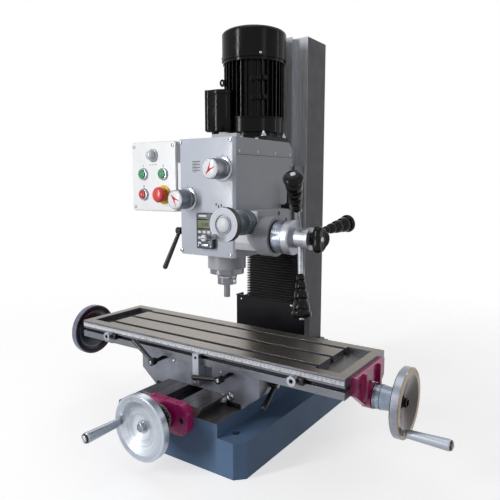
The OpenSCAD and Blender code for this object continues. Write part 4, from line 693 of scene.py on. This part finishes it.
# Quill depth readout
def readout():
    low, high = corners("depth_readout")
    x, y, z = (low.x + high.x) / 2, low.y, (low.z + high.z) / 2
    w, h = high.x - low.x, high.z - low.z
    window_z, label_z = 540, 560
    case = Piece().prism(rounded(w, h, 4, x, z), 1, y, high.y, 1.6, 3)
    case.done("readout_case", "head", "readout", "readout", "depth_readout")
    rim = Piece().prism(rounded(45, 25, 2, x, window_z), 1, y - 0.8, y + 0.5, 0.4)
    rim.done("readout_rim", "head", "grip")
    window = Piece().prism(rounded(40, 20, 1.5, x, window_z), 1, y - 1.1, y, 0.3)
    window.done("readout_window", "head", "lcd", "readout")
    digits = Piece().text("0.00", 12, at((x + 3, y - 1.1, window_z - 0.5), FRONT), 0.15)
    digits.done("readout_digits", "head", "ink")
    keys = Piece()
    for kx, kz in ((-14, 521), (0, 521), (14, 521), (-14, 507), (-14, 494)):
        keys.prism(rounded(10.5, 6.5, 3.2, x + kx, kz), 1, y - 1.3, y + 0.5, 0.5)
    keys.prism(rounded(24, 5, 1.0, x - 5, label_z), 1, y - 0.4, y + 0.5, 0.2)
    keys.done("readout_keys", "head", "key", "box_white")
    screws = Piece()
    for s in (-1, 1):
        screws.socket((x + s * (w / 2 - 6), y + 0.2, low.z + 7), -Y, 2.2, 1.2)
    screws.prism(rounded(20, 5, 1.0, x, low.z + 9), 1, y - 0.5, y + 0.5, 0.3)
    screws.done("readout_trim", "head", "bright")


# Switch box: cover plate, screws, lamp, bezels and buttons
def switch_box():
    left, right, bottom, top, y = corner("control_box", 0).x, -118, 564, 746, -130
    x, z = (left + right) / 2, (bottom + top) / 2
    w, h = right - left, top - bottom
    near, far, upper, lower, lamp_z = x - 36, x + 36, 662, 608, 711
    buttons = (("start", "green", near, upper, "I"), ("reverse", "green", far, upper, "II"),
               ("stop", "red", near, lower, "O"))
    plate = Piece().prism(rounded(w - 3, h - 3, 8, x, z), 1, y - 2.5, y + 1, 1.2, 3)
    plate.done("switch_cover", "head", "white", "box_white")
    seam = Piece().prism(rounded(w + 0.6, h + 0.6, 8.3, x, z), 1, y + 0.2, y + 1.4)
    seam.done("switch_seal", "head", "ink")
    trim = Piece()
    for sx in (-1, 1):
        for sz in (-1, 1):
            trim.socket((x + sx * (w / 2 - 11), y - 2.4, z + sz * (h / 2 - 11)), -Y, 4, 2.2)
    for name, colour, bx, bz, words in buttons:
        trim.lathe([(11.4, 0), (16.5, 0), (16.5, 2.2), (14.8, 6), (12.2, 6.4), (11.4, 5.6)],
                   (bx, y - 2.4, bz), -Y, 48)
    trim.lathe([(8, 0), (17, 0), (17, 3), (14.5, 5.5), (8, 5.5)], (x, y - 2.4, lamp_z), -Y, 48)
    trim.done("switch_trim", "head", "bright")
    lamp = Piece()
    lamp.lathe([(0, 0), (12.5, 0), (12.5, 8), (11, 13), (7.5, 16), (0, 17.2)], (x, y - 6, lamp_z), -Y, 48,
               lambda a, r, t: 1.0 - 0.03 * (1 + math.cos(12 * a)) * (r > 12))
    lamp.done("switch_lamp", "head", "lens", "box_white")
    collar = Piece()
    collar.lathe([(8, 0), (25, 0), (25, 1.4), (24, 2.2), (16, 3.2), (8, 3.2)], (far, y - 2.4, lower), -Y, 56)
    collar.done("switch_collar", "head", "yellow", "red")
    marks = Piece()
    for name, colour, bx, bz, words in buttons:
        marks.text(words, 8, at((bx, y - 2.6, bz + 21.5), FRONT), 0.2)
    for k in range(3):
        marks.box((x - 14 + 10 * k, y - 2.75, 686), (x - 8 + 10 * k, y - 2.3, 687.2))
    marks.done("switch_marks", "head", "ink")
    for name, colour, bx, bz, words in buttons:
        node, body = name + "_button", "button_" + name
        cap = Piece()
        cap.lathe([(0, -12), (6, -12), (6, 4), (10.9, 4), (10.9, 11.5), (10.2, 12.8), (8.6, 13.2), (4, 12.7),
                   (0, 12.6)], (bx, y, bz), -Y, 40)
        cap.done(node + "_cap", body, colour, colour, node)
        mark = Piece().text(words, 7, at((bx, y - 12.7, bz), FRONT), 0.25)
        mark.done(node + "_mark", body, "pale_ink")
    cap = Piece()
    cap.lathe([(0, -12), (5.9, -12), (5.9, 9.5), (10, 11), (12, 14.5), (19, 16), (20.3, 19), (20, 24),
               (17, 28), (11, 30.2), (0, 31)], (far, y, lower), -Y, 56)
    cap.done("emergency_cap", "button_emergency", "mushroom", "red", "emergency_stop")


# Motor: pads, lifting lug, bolts, cowl screws and the rounded terminal box
def motor():
    axis = Y * MOTOR_Y
    pads = Piece()
    for angle in (-47.5, 132.5):
        for z in (903, 855):
            for k in (-1, 0, 1):
                degrees = angle + 11.5 * k
                way = spoke(degrees, 2)
                turn = at(axis + Z * z, Matrix.Rotation(math.radians(degrees), 4, "Z"))
                pads.box((74, -6, -6 + k), (84.5 - abs(k), 6, 6 + k), 1.5, 3, turn)
                pads.lathe([(0, 0), (3, 0), (3, 1.6), (2.4, 2.2), (0, 2.2)],
                           axis + Z * z + way * (84 - abs(k)), way, 16)
    lug = at(axis + Z * 900, Matrix.Rotation(math.radians(-133.5), 4, "Z"))
    pads.box((74, -8, -8), (85, 8, 8), 2, 3, lug)
    pads.prism(arc(84, 0, 9, 10, -90, 90) + arc(84, 0, 4, 5, 90, -90), 1, -3, 3, 0.8, 2, lug)
    pads.done("motor_pads", "head", "motor")
    band = Piece()
    band.lathe([(79, 0), (81, 0.6), (81.4, 4), (79.8, 5), (79, 5)], axis + Z * 804.5, Z, 96)
    band.lathe([(84, 0), (86.0, 0.8), (86.0, 3.4), (84, 4.2)], axis + Z * 955.5, Z, 96)
    band.done("motor_bands", "head", "motor")
    bolts = Piece()
    for x, y in ((73, -14), (73, 84), (-73, 84)):
        bolts.hexagon((x, y, 757), Z, 6.2, 6.5)
        bolts.lathe([(0, 0), (3.2, 0), (3.2, 12), (2.6, 12.6), (0, 12.6)], (x, y, 757), Z, 16)
    for k in range(4):
        way = spoke(45 + 90 * k, 2)
        bolts.socket(axis + Z * 963 + way * 85.2, way, 3.2, 1.8)
    bolts.done("motor_bolts", "head", "bright")
    terminal_box()


def terminal_box():
    low, high = corners("terminal_box")
    front, back = -62, -3
    x, y = (low.x + high.x) / 2, (front + back) / 2

    def outline(grow, r):
        x0, x1, y0, y1 = low.x - grow, high.x + grow, front - grow, back + grow
        return [(x0, y1), (x0, y0 + 2), (x0 + 2, y0)] + arc(x1 - r, y0 + r, r, r, -90, 0) + [(x1, y1)]

    box = Piece().prism(outline(0, 34), 2, low.z, high.z - 4, 1.0)
    x0, x1, y0, y1 = low.x - 1.5, low.x + 10, front - 2, front + 4
    box.prism([(x0, y0), (x1, y0), (x1, y1), (x0, y1)], 2, low.z + 2, high.z, 0.8)
    box.prism(outline(1.2, 35), 2, high.z - 12, high.z, 2.2, 3)
    box.lathe([(0, -14), (8, -14), (9.5, -12), (9.5, 0), (0, 0)], (x - 14, y - 12, low.z), Z, 24)
    box.done("terminal_case", "head", "motor", "motor_black", "terminal_box")
    screws = Piece()
    for s in (-1, 1):
        screws.socket((x + s * 22, y - 20, high.z - 0.3), Z, 2.6, 1.4)
    screws.done("terminal_screws", "head", "bright")


# Gearbox: seam gasket, cover screws, tilt scale, oil glass, the clamp's ball and the slide's gib screws
def head_trim():
    half, front, back = 86.2, -148.9, 111.2
    seam = Piece()
    seam.prism([(-half, front), (half, front), (half, back), (-half, back)], 2, SEAM_Z - 0.5, SEAM_Z + 0.5)
    seam.done("cover_gasket", "head", "ink")
    screws = Piece()
    for x, y in ((76, -120), (-76, -120), (-76, -40), (76, -50)):
        screws.socket((x, y, PLATE_TOP - 0.2), Z, 4.4, 4)
    for y in (-140, -60, 20, 96):
        for s in (-1, 1):
            screws.socket((s * (HEAD_X - 0.2), y, 714), X * s, 3.2, 1.6)
    screws.done("cover_screws", "head", "bright")
    pad = Piece().box((87.5, PLATE_Y - 0.8, 500), (149.4, PLATE_Y + 2, 575.2), 0.8)
    pad.done("feed_housing_pad", "head", "pad", "head_grey")
    holes = Piece()
    for y, z in ((-27, 548), (-27, 496), (-62, 566)):
        holes.socket((148.9, y, z), X, 5.4, 0.9)
    for y in (-104, -34):
        holes.socket((118, y, 484.1), -Z, 5, 0.9)
    holes.done("feed_housing_screws", "head", "oxide")
    scale = Piece()
    scale.box((HEAD_X - 0.2, 84, 573), (HEAD_X + 1.2, 93, 623), 0.3)
    scale.lathe([(0, 0), (4.4, 0), (4.4, 1.6), (3.2, 2.8), (0, 3.2)], (HEAD_X, 104, 685), X, 24)
    scale.done("tilt_scale", "head", "scale", "box_white")
    ticks = Piece()
    for k in range(19):
        z = 575 + 2.5 * k
        ticks.box((HEAD_X, 88.4 - (2 if k % 3 == 0 else 0), z), (HEAD_X + 1.35, 92.6, z + 0.5))
    ticks.done("tilt_marks", "head", "ink")
    glass = Piece()
    glass.lathe([(0, 0), (12, 0), (12, 2.4), (10.6, 3.4), (7.5, 3.4), (7.2, 2.2), (0, 2.2)],
                (-HEAD_X, -20, 545), -X, 40)
    glass.done("oil_glass", "head", "bright")
    ball, r = Piece(), 6.4
    ball.lathe([(0, -r)] + arc(0, 0, r, r, -75, 75, 10) + [(0, r)], (105.5, 58, 632), Z, 32)
    ball.done("clamp_ball", "swivel_clamp", "chrome")
    gibs = Piece()
    for z in (478, 562, 646):
        gibs.hexagon((93, 138, z), X, 5, 4)
        gibs.lathe([(0, 0), (2.8, 0), (2.8, 9), (2.2, 9.6), (0, 9.6)], (93, 138, z), X, 16)
    gibs.done("slide_gib_screws", "slide_body", "bright")


# Downfeed: dial marks and screws, then ribbed grips with mushroom caps
def downfeed():
    ink = Piece()
    ink.ring_marks(FEED + X * 185, X, 37, ((10, 10, 25), (5, 14, 25), (1, 18, 25)), 100, 0.6)
    ink.numbers(FEED + X * 190, X, 37, 6, step=10)
    for end, width in ((184.6, 2.6), (212, 1.6)):
        ink.band(35, 38.2, width, FEED + X * end, X, 72)
    ink.done("feed_dial_marks", "dial_ring", "ink")
    screws = Piece()
    for k in range(3):
        out = spoke(30 + 120 * k, 0)
        screws.socket(FEED + X * 199 + out * 36.6, out, 3, 1.4)
    screws.done("feed_dial_screws", "dial_ring", "bright")
    reach, lean = 173.0, 42.0
    tilt = math.atan2(lean, reach)
    ribs = ((84, 98, 7.6, 9.4), (98.4, 117, 9.0, 12.4), (117.4, 139, 11.2, 15.4), (139.4, 164, 13.6, 18.2))
    profile = [(0, 84), (5.6, 84)]
    for low, high, r0, r1 in ribs:
        third = (high - low) / 3
        profile += [(r0 - 1.0, low), (r0, low + 0.9), (r0 * 0.4 + r1 * 0.6 + 0.6, low + third),
                    (r1 - 0.2, low + 2 * third), (r1, high - 2.4), (r1 - 0.9, high - 0.6), (r1 - 3.0, high)]
    profile += [(13, 164), (18.8, 165.4), (21, 168), (21.6, 171.5), (21, 175), (18, 178.4), (12, 180.8),
                (6, 181.8), (0, 182)]
    grips = Piece()
    for k in range(3):
        a = math.radians(8.2 + 120 * k - 90)
        way = Matrix.Rotation(a, 3, "X") @ (Matrix.Rotation(tilt, 3, "Y") @ Z)
        grips.lathe(profile, FEED + X * 243, way, 48)
    grips.done("ribbed_grips", "downfeed", "grip", "grip_black", "downfeed_grips")


# Star knob with three round lobes and a bright cap
def star_knob():
    def lobes(a, r, t):
        return 1.0 + 0.16 * math.cos(3 * a) * max(0.0, min(1.0, (r - 14) / 8))

    star = Piece()
    star.lathe([(0, 0), (12.6, 0), (14.6, 1.5), (14.4, 7), (16, 9), (22, 10.8), (25.6, 13.6), (27, 18),
                (27.2, 23), (26, 27.4), (24, 30), (21.6, 30.4), (19.6, 28.4), (15, 25.6), (9, 24.4),
                (0, 24)], FEED + X * 273, X, 96, lobes)
    star.done("star_grip", "clutch_knob", "grip", "grip_black", "star_knob")
    cap = Piece().lathe([(0, -0.4), (6.4, -0.4), (6.4, 1.4), (5.2, 2.4), (0, 2.7)], FEED + X * 297.2, X, 32)
    cap.done("star_cap", "clutch_knob", "bright")


# Fine feed: graduations, dark collar, a black bar of painted shade for the slot in the grip's cap, domed face
# and the small grip on it
def fine_feed():
    front, face, grip_x, grip_z = FINE + Y * (PLATE_Y - 0.3), -248, 98, 522
    ink = Piece()
    ink.ring_marks(front, -Y, 28, ((10, 8, 22), (5, 12, 22), (1, 15, 22)), 50, 0.6)
    ink.band(27, 28.3, 1, front - Y * 1.5, -Y)
    ink.band(16.4, 17.3, 0.5, FINE + Y * face, -Y)
    # Black bar across the grip's cap: painted shade of its slot
    ink.box((grip_x - 4.4, -290.2, grip_z - 0.7), (grip_x + 4.4, -289, grip_z + 0.7))
    ink.band(18, 19.8, 12, front - Y * 62, -Y, 48)
    ink.numbers(front - Y * 4.5, -Y, 28, 5, 5, 10)
    ink.done("fine_marks", "fine_feed", "ink")
    dome = Piece()
    dome.lathe([(0, -1), (16.5, -1), (16.5, 0.6), (15, 2), (10, 3.6), (5, 4.4), (0, 4.6)],
               FINE + Y * face, -Y, 56)
    dome.lathe([(0, 39), (6.6, 39), (6.6, 41.2), (5.8, 41.8), (0, 42)], (grip_x, face, grip_z), -Y, 32)
    dome.done("fine_dome", "fine_feed", "scale", "box_white")
    grip = Piece()
    grip.lathe([(0, -0.5), (6.4, -0.5), (6.4, 2), (5.4, 3), (5.2, 8), (8.2, 30), (8.6, 36), (7.8, 39.4),
                (0, 39.8)], (grip_x, face, grip_z), -Y, 32)
    grip.done("fine_trim", "fine_feed", "steel", "steel")


# Table: scale strip with its graduations, bracket screws and oilers, and the stops' blocks
def table():
    end = TABLE_END - 1
    strip = Piece().box((-end, TABLE_FRONT - 0.7, 236.8), (end, TABLE_FRONT + 0.2, 247.6), 0.25)
    strip.done("scale_strip", "long_table", "scale", "dial")
    ink = Piece()
    for k in range(-396, 397, 2):
        wide, tall = (0.7, 6.2) if k % 10 == 0 else (0.3, 3.4)
        ink.box((k - wide / 2, TABLE_FRONT - 0.85, 246.8 - tall), (k + wide / 2, TABLE_FRONT - 0.4, 246.8))
    for z in (236.2, 247.3):
        ink.box((-TABLE_END + 0.5, TABLE_FRONT - 0.75, z), (TABLE_END - 0.5, TABLE_FRONT + 0.2, z + 0.8))
    for k in range(-375, 376, 25):
        ink.text(str(400 + k), 3.6, at((k + 0.2, TABLE_FRONT - 0.72, 238.9), FRONT), 0.12)
    ink.done("scale_marks", "long_table", "ink")
    dark = Piece()
    oil = Piece()
    for s in (-1, 1):
        for y in (-171, -47):
            dark.socket((s * (TABLE_END + 5.2), y, 225), X * s, 6.6, 7.4)
        oil.lathe([(0, 0), (5, 0), (5, 1.6), (3.4, 2.8), (0, 3.2)], (s * (TABLE_END + 16), -109, 215), Z, 24)
    dark.done("bracket_screws", "long_table", "oxide")
    oil.done("bracket_oilers", "long_table", "bright")
    for name, body, x in (("left", "stop_left", -286), ("right", "stop_right", 286)):
        key = Piece()
        key.box((x + 12, TABLE_FRONT - 9, 220.5), (x + 25, TABLE_FRONT - 0.8, 235.5), 1.2)
        key.socket((x, TABLE_FRONT - 10, 228), -Y, 7, 3.5)
        key.done(name + "_stop_block", body, "oxide")


# Dials, end screws of the crank grips and hub nuts
def wheels():
    ink = Piece()
    knurl = Piece()
    for way in (-X, X):
        origin = X_SCREW + way * (TABLE_END + 24)
        ink.ring_marks(origin, way, 27, ((10, 1.5, 11), (5, 1.5, 8.5), (1, 1.5, 6)), 100, 0.45)
        ink.band(26, 27.2, 1.1, origin + way * 14.8, way, 64)
        ink.numbers(origin + way * 12.8, way, 26.95, 4.0)
        knurl.lathe([(22, 0), (25.0, 0.5), (25.4, 2.8), (22, 3.3)], origin + way * 38.5, way, 96,
                    lambda a, r, t: 1.0 - 0.012 * (1 + math.cos(32 * a)) * (r > 24))
    ink.done("table_dial_marks", "long_screw", "ink")
    knurl.done("table_dial_nuts", "long_screw", "bright")
    pale = Piece()
    origin = Vector((0, -325, Y_SCREW_Z))
    pale.ring_marks(origin, -Y, 30, ((10, 1, 12), (5, 1, 9), (1, 1, 6.5)), 100, 0.45)
    pale.numbers(origin - Y * 15.5, -Y, 30, 4.2)
    pale.done("cross_dial_marks", "cross_screw", "pale_ink")
    right = (corner("right_grip", 0) + corner("right_grip", 1)) / 2
    right.x = corner("right_grip", 1).x
    grip_end("right", "right_crank_grip", "long_screw", right, X)
    front = (corner("front_grip", 0) + corner("front_grip", 1)) / 2
    front.y = corner("front_grip", 0).y
    grip_end("front", "front_crank_grip", "cross_screw", front, -Y)
    left = X_SCREW + X * (corner("left_handwheel", 0).x + 3) + spoke(-25, 0) * 60
    grip_end("left", "long_screw", "long_screw", left, -X)
    nuts = Piece()
    nuts.hexagon(X_SCREW + X * (TABLE_END + 84.2), X, 10.5, 8)
    nuts.hexagon(X_SCREW - X * (TABLE_END + 92.2), -X, 10.5, 8)
    nuts.done("table_wheel_nuts", "long_screw", "oxide")
    nut = Piece().hexagon((0, -385.2, Y_SCREW_Z), -Y, 10.5, 8)
    nut.done("front_wheel_nut", "cross_screw", "bright")


# End screw with its slot, drawn as a black bar of painted shade, and rim, of a crank grip
def grip_end(name, grip_body, wheel_body, centre, way):
    screw = Piece()
    screw.lathe([(0, 0.6), (7.3, 0.6), (7.3, 2.6), (6.2, 3.7), (3.6, 4.1), (0, 4.2)], centre, way, 32)
    screw.done(name + "_grip_screw", wheel_body, "face", "polished")
    rim = Piece().lathe([(7.6, -1), (10.4, -1), (10.6, 0.4), (9.4, 2), (8, 2.2), (7.6, 1.8)], centre, way, 40)
    rim.done(name + "_grip_rim", grip_body, "oxide")
    # The slot is a black bar on the screw's head: painted shade
    slot = Piece().box((-5.6, -0.8, 2), (5.6, 0.8, 4.35), turn=at(centre, looking(way, way.orthogonal())))
    slot.done(name + "_grip_slot_shade", wheel_body, "ink")


# Saddle: oilers, gib screw, a dark ring round the sight glass, black discs of painted shade in the stop
# block's holes, way wipers and the levers' nuts
def saddle():
    sight = (103.5, SADDLE_FRONT, 141)
    bright = Piece()
    for x, z in ((-73.4, 194), (74.6, 194)):
        bright.lathe([(0, 0), (4.2, 0), (4.2, 1.4), (2.8, 2.6), (0, 2.8)], (x, SADDLE_FRONT, z), -Y, 24)
    bright.lathe([(6.5, 0), (9.6, 0), (9.6, 1.4), (8.6, 2.2), (7.2, 1.6), (6.5, 0.4), (3, 1.4), (0, 2.2)],
                 sight, -Y, 40)
    bright.done("saddle_oilers", "cross_saddle", "chrome")
    bolt = Piece().hexagon((82, SADDLE_FRONT, 131), -Y, 8.6, 9, 1.0)
    bolt.done("gib_bolt", "cross_saddle", "face", "polished")
    stop_front = corner("stop_block", 0).y - 0.2
    ring = Piece()
    ring.band(9.4, 11, 0.7, sight, -Y, 40)
    # Black discs on the stop block's front: painted shade of its holes
    for r, z in ((4.6, 176), (3.2, 228)):
        ring.lathe([(0, 0.05), (r, 0.05), (r, 0.5), (0, 0.5)], (24, stop_front, z), -Y, 32)
    ring.done("saddle_rings_and_hole_shade", "cross_saddle", "ink")
    felt = Piece()
    for s in (-1, 1):
        felt.box((s * 114 - 19, SADDLE_FRONT - 2.4, 116.8), (s * 114 + 19, SADDLE_FRONT + 0.2, 128), 0.6)
        felt.socket((s * 124, SADDLE_FRONT - 2.2, 123), -Y, 2.4, 1.4)
    felt.done("way_wipers", "cross_saddle", "sheet")
    nuts = (("left_lock_nut", "left_table_lock", (-101.5, -256, 198), -Y),
            ("right_lock_nut", "right_table_lock", (108, -256, 197), -Y),
            ("side_lock_nut", "side_saddle_lock", (203, -150, 172), X),
            ("quill_lock_nut", "quill_clamp", (-109, -140, 517), -X))
    for name, body, origin, way in nuts:
        Piece().socket(origin, way, 4.6, 2.2).done(name, body, "bright")


# Column: top bearing cover, oilers, way cover's folded lip and screws
def column():
    top = Piece()
    top.lathe([(9, -0.5), (30, -0.5), (30, 0.9), (29, 1.4), (12, 1.7), (9, 1.7)], (0, Z_SCREW_Y, 1033), Z, 56)
    for k in range(3):
        out = spoke(90 + 120 * k, 2)
        top.socket(Vector((0, Z_SCREW_Y, 1033.4)) + out * 22, Z, 3.2, 1.4)
    top.done("column_bearing", "frame", "bright")
    oil = Piece()
    oil.lathe([(0, 0), (4.6, 0), (4.6, 1.8), (3, 3), (0, 3.4)], (76, 133, 289), -Y, 24)
    for x in (-100, 100):
        for z in (156, 288):
            oil.socket((x, 133, z), -Y, 3.4, 1.6)
    oil.done("cover_oilers", "frame", "bright")
    lip = Piece()
    lip.box((-119, 131.5, 296), (119, 137, 300.5), 1.2)
    for s in (-1, 1):
        lip.box((s * 118 - 2, 132, 296), (s * 118 + 2, 165, 300.5), 1.2)
    lip.done("cover_lip", "frame", "sheet")


# Elevation crank behind the motor
def crank():
    hub_z, grip_z = 955, 890
    arm = Piece()
    arm.lathe([(8, 0), (16.2, 0), (17, 1), (17, 10), (15, 13), (13.5, 17.5), (8, 17.5)],
              (-142, Z_SCREW_Y, hub_z), X, 40)
    arm.prism([(-13, 3), (-9.5, -60), (-6, -68), (0, -71), (6, -68), (9.5, -60), (13, 3), (9, 12), (0, 16),
               (-9, 12)], 2, 0, 12, 1.5, 3, at((-136, Z_SCREW_Y, hub_z), LEFT))
    arm.done("crank_arm", "elevation_crank", "bright")
    grip = Piece()
    grip.lathe([(0, 0), (9, 0), (9, 3), (10.6, 8), (12.4, 40), (12.8, 62), (11.6, 72), (8, 77), (0, 78)],
               (-148, Z_SCREW_Y, grip_z), -X, 40)
    grip.done("crank_grip", "elevation_crank", "grip")


# Spindle nose: lock ring and drive flats, with the screws of the quill's cap
def spindle():
    nose = Piece()
    nose.lathe([(20, 0), (25.2, 0), (25.6, 1), (25.6, 5), (24.8, 6), (20, 6)], (0, SPINDLE_Y, 396), Z, 48)
    for s in (-1, 1):
        nose.box((s * 24.5 - 1.2, SPINDLE_Y - 5, 380), (s * 24.5 + 1.2, SPINDLE_Y + 5, 392), 0.5)
    nose.done("nose_ring", "spindle_body", "bright")
    cap = Piece()
    for k in range(4):
        out = spoke(20 + 90 * k, 2)
        cap.socket(Vector((0, SPINDLE_Y, 407.8)) + out * 38, -Z, 3.6, 2.4)
    cap.done("quill_cap_screws", "quill_body", "oxide")


# Floor, world and lamps
def studio():
    bm = bmesh.new()
    bmesh.ops.create_circle(bm, cap_ends=True, segments=96, radius=4000)
    s = Shader("floor")
    seen = s.seen()
    grey = s.mix(s.noise(3.0), (0.3, 0.3, 0.31, 1), (0.34, 0.34, 0.34, 1))
    pale = s.mix(s.noise(3.0), (0.5, 0.5, 0.51, 1), (0.53, 0.53, 0.53, 1))
    s.wear(s.mix(seen, grey, pale), 0.6, Emission_Color=(1, 1, 1, 1),
           Emission_Strength=s.times(seen, 0.6))
    far = s.span(s.radius((0, 0, 0), "Z"), 0.75, 1.9)
    clear = s.node("ShaderNodeBsdfTransparent").outputs[0]
    faded = s.node("ShaderNodeMixShader", {0: far, 1: s.bsdf.outputs[0], 2: clear}).outputs[0]
    s.put(s.tree.nodes["Material Output"].inputs[0], faded)
    ground = Piece().join(bm).shown("floor", s.owner)
    scene.world = bpy.data.worlds.new("world")
    s = Shader("world", scene.world)
    back = s.tree.nodes["Background"].inputs
    s.put(back["Strength"], s.span(s.seen(), 0.0, 1.0, 0.22, 1.0))
    s.put(back["Color"], (1, 1, 1, 1))
    lamps = (("key", (-1.2, -2.6, 1.25), (0.22, 2.3), 62), ("fill", (2.5, -0.9, 1.4), (0.5, 1.4), 4),
             ("top", (-0.2, -0.4, 3.0), (1.6, 1.6), 8), ("rim", (2.0, 1.5, 1.2), (0.12, 2.0), 4),
             ("back", (-1.6, 1.9, 2.0), (1.4, 1.4), 9))
    for name, place, (wide, tall), watts in lamps:
        data = bpy.data.lights.new(name, "AREA")
        data.shape = "RECTANGLE"
        data.size = wide
        data.size_y = tall
        data.energy = watts
        lamp = add(name, data)
        lamp.location = place
        goal = Vector((0, -0.05, place[2] if tall > 1.9 else 0.45))
        lamp.rotation_euler = (goal - Vector(place)).to_track_quat("-Z", "Y").to_euler()
        lamp.visible_camera = False


set_camera()
scene.view_settings.view_transform = "Standard"
bellows()
cover_frames()
front_plate()
knob("range_knob", "range_selector", RANGE_KNOB, 140)
knob("speed_knob", "speed_selector", SPEED_KNOB, 46)
readout()
switch_box()
motor()
head_trim()
downfeed()
star_knob()
fine_feed()
table()
wheels()
saddle()
column()
crank()
spindle()
studio()
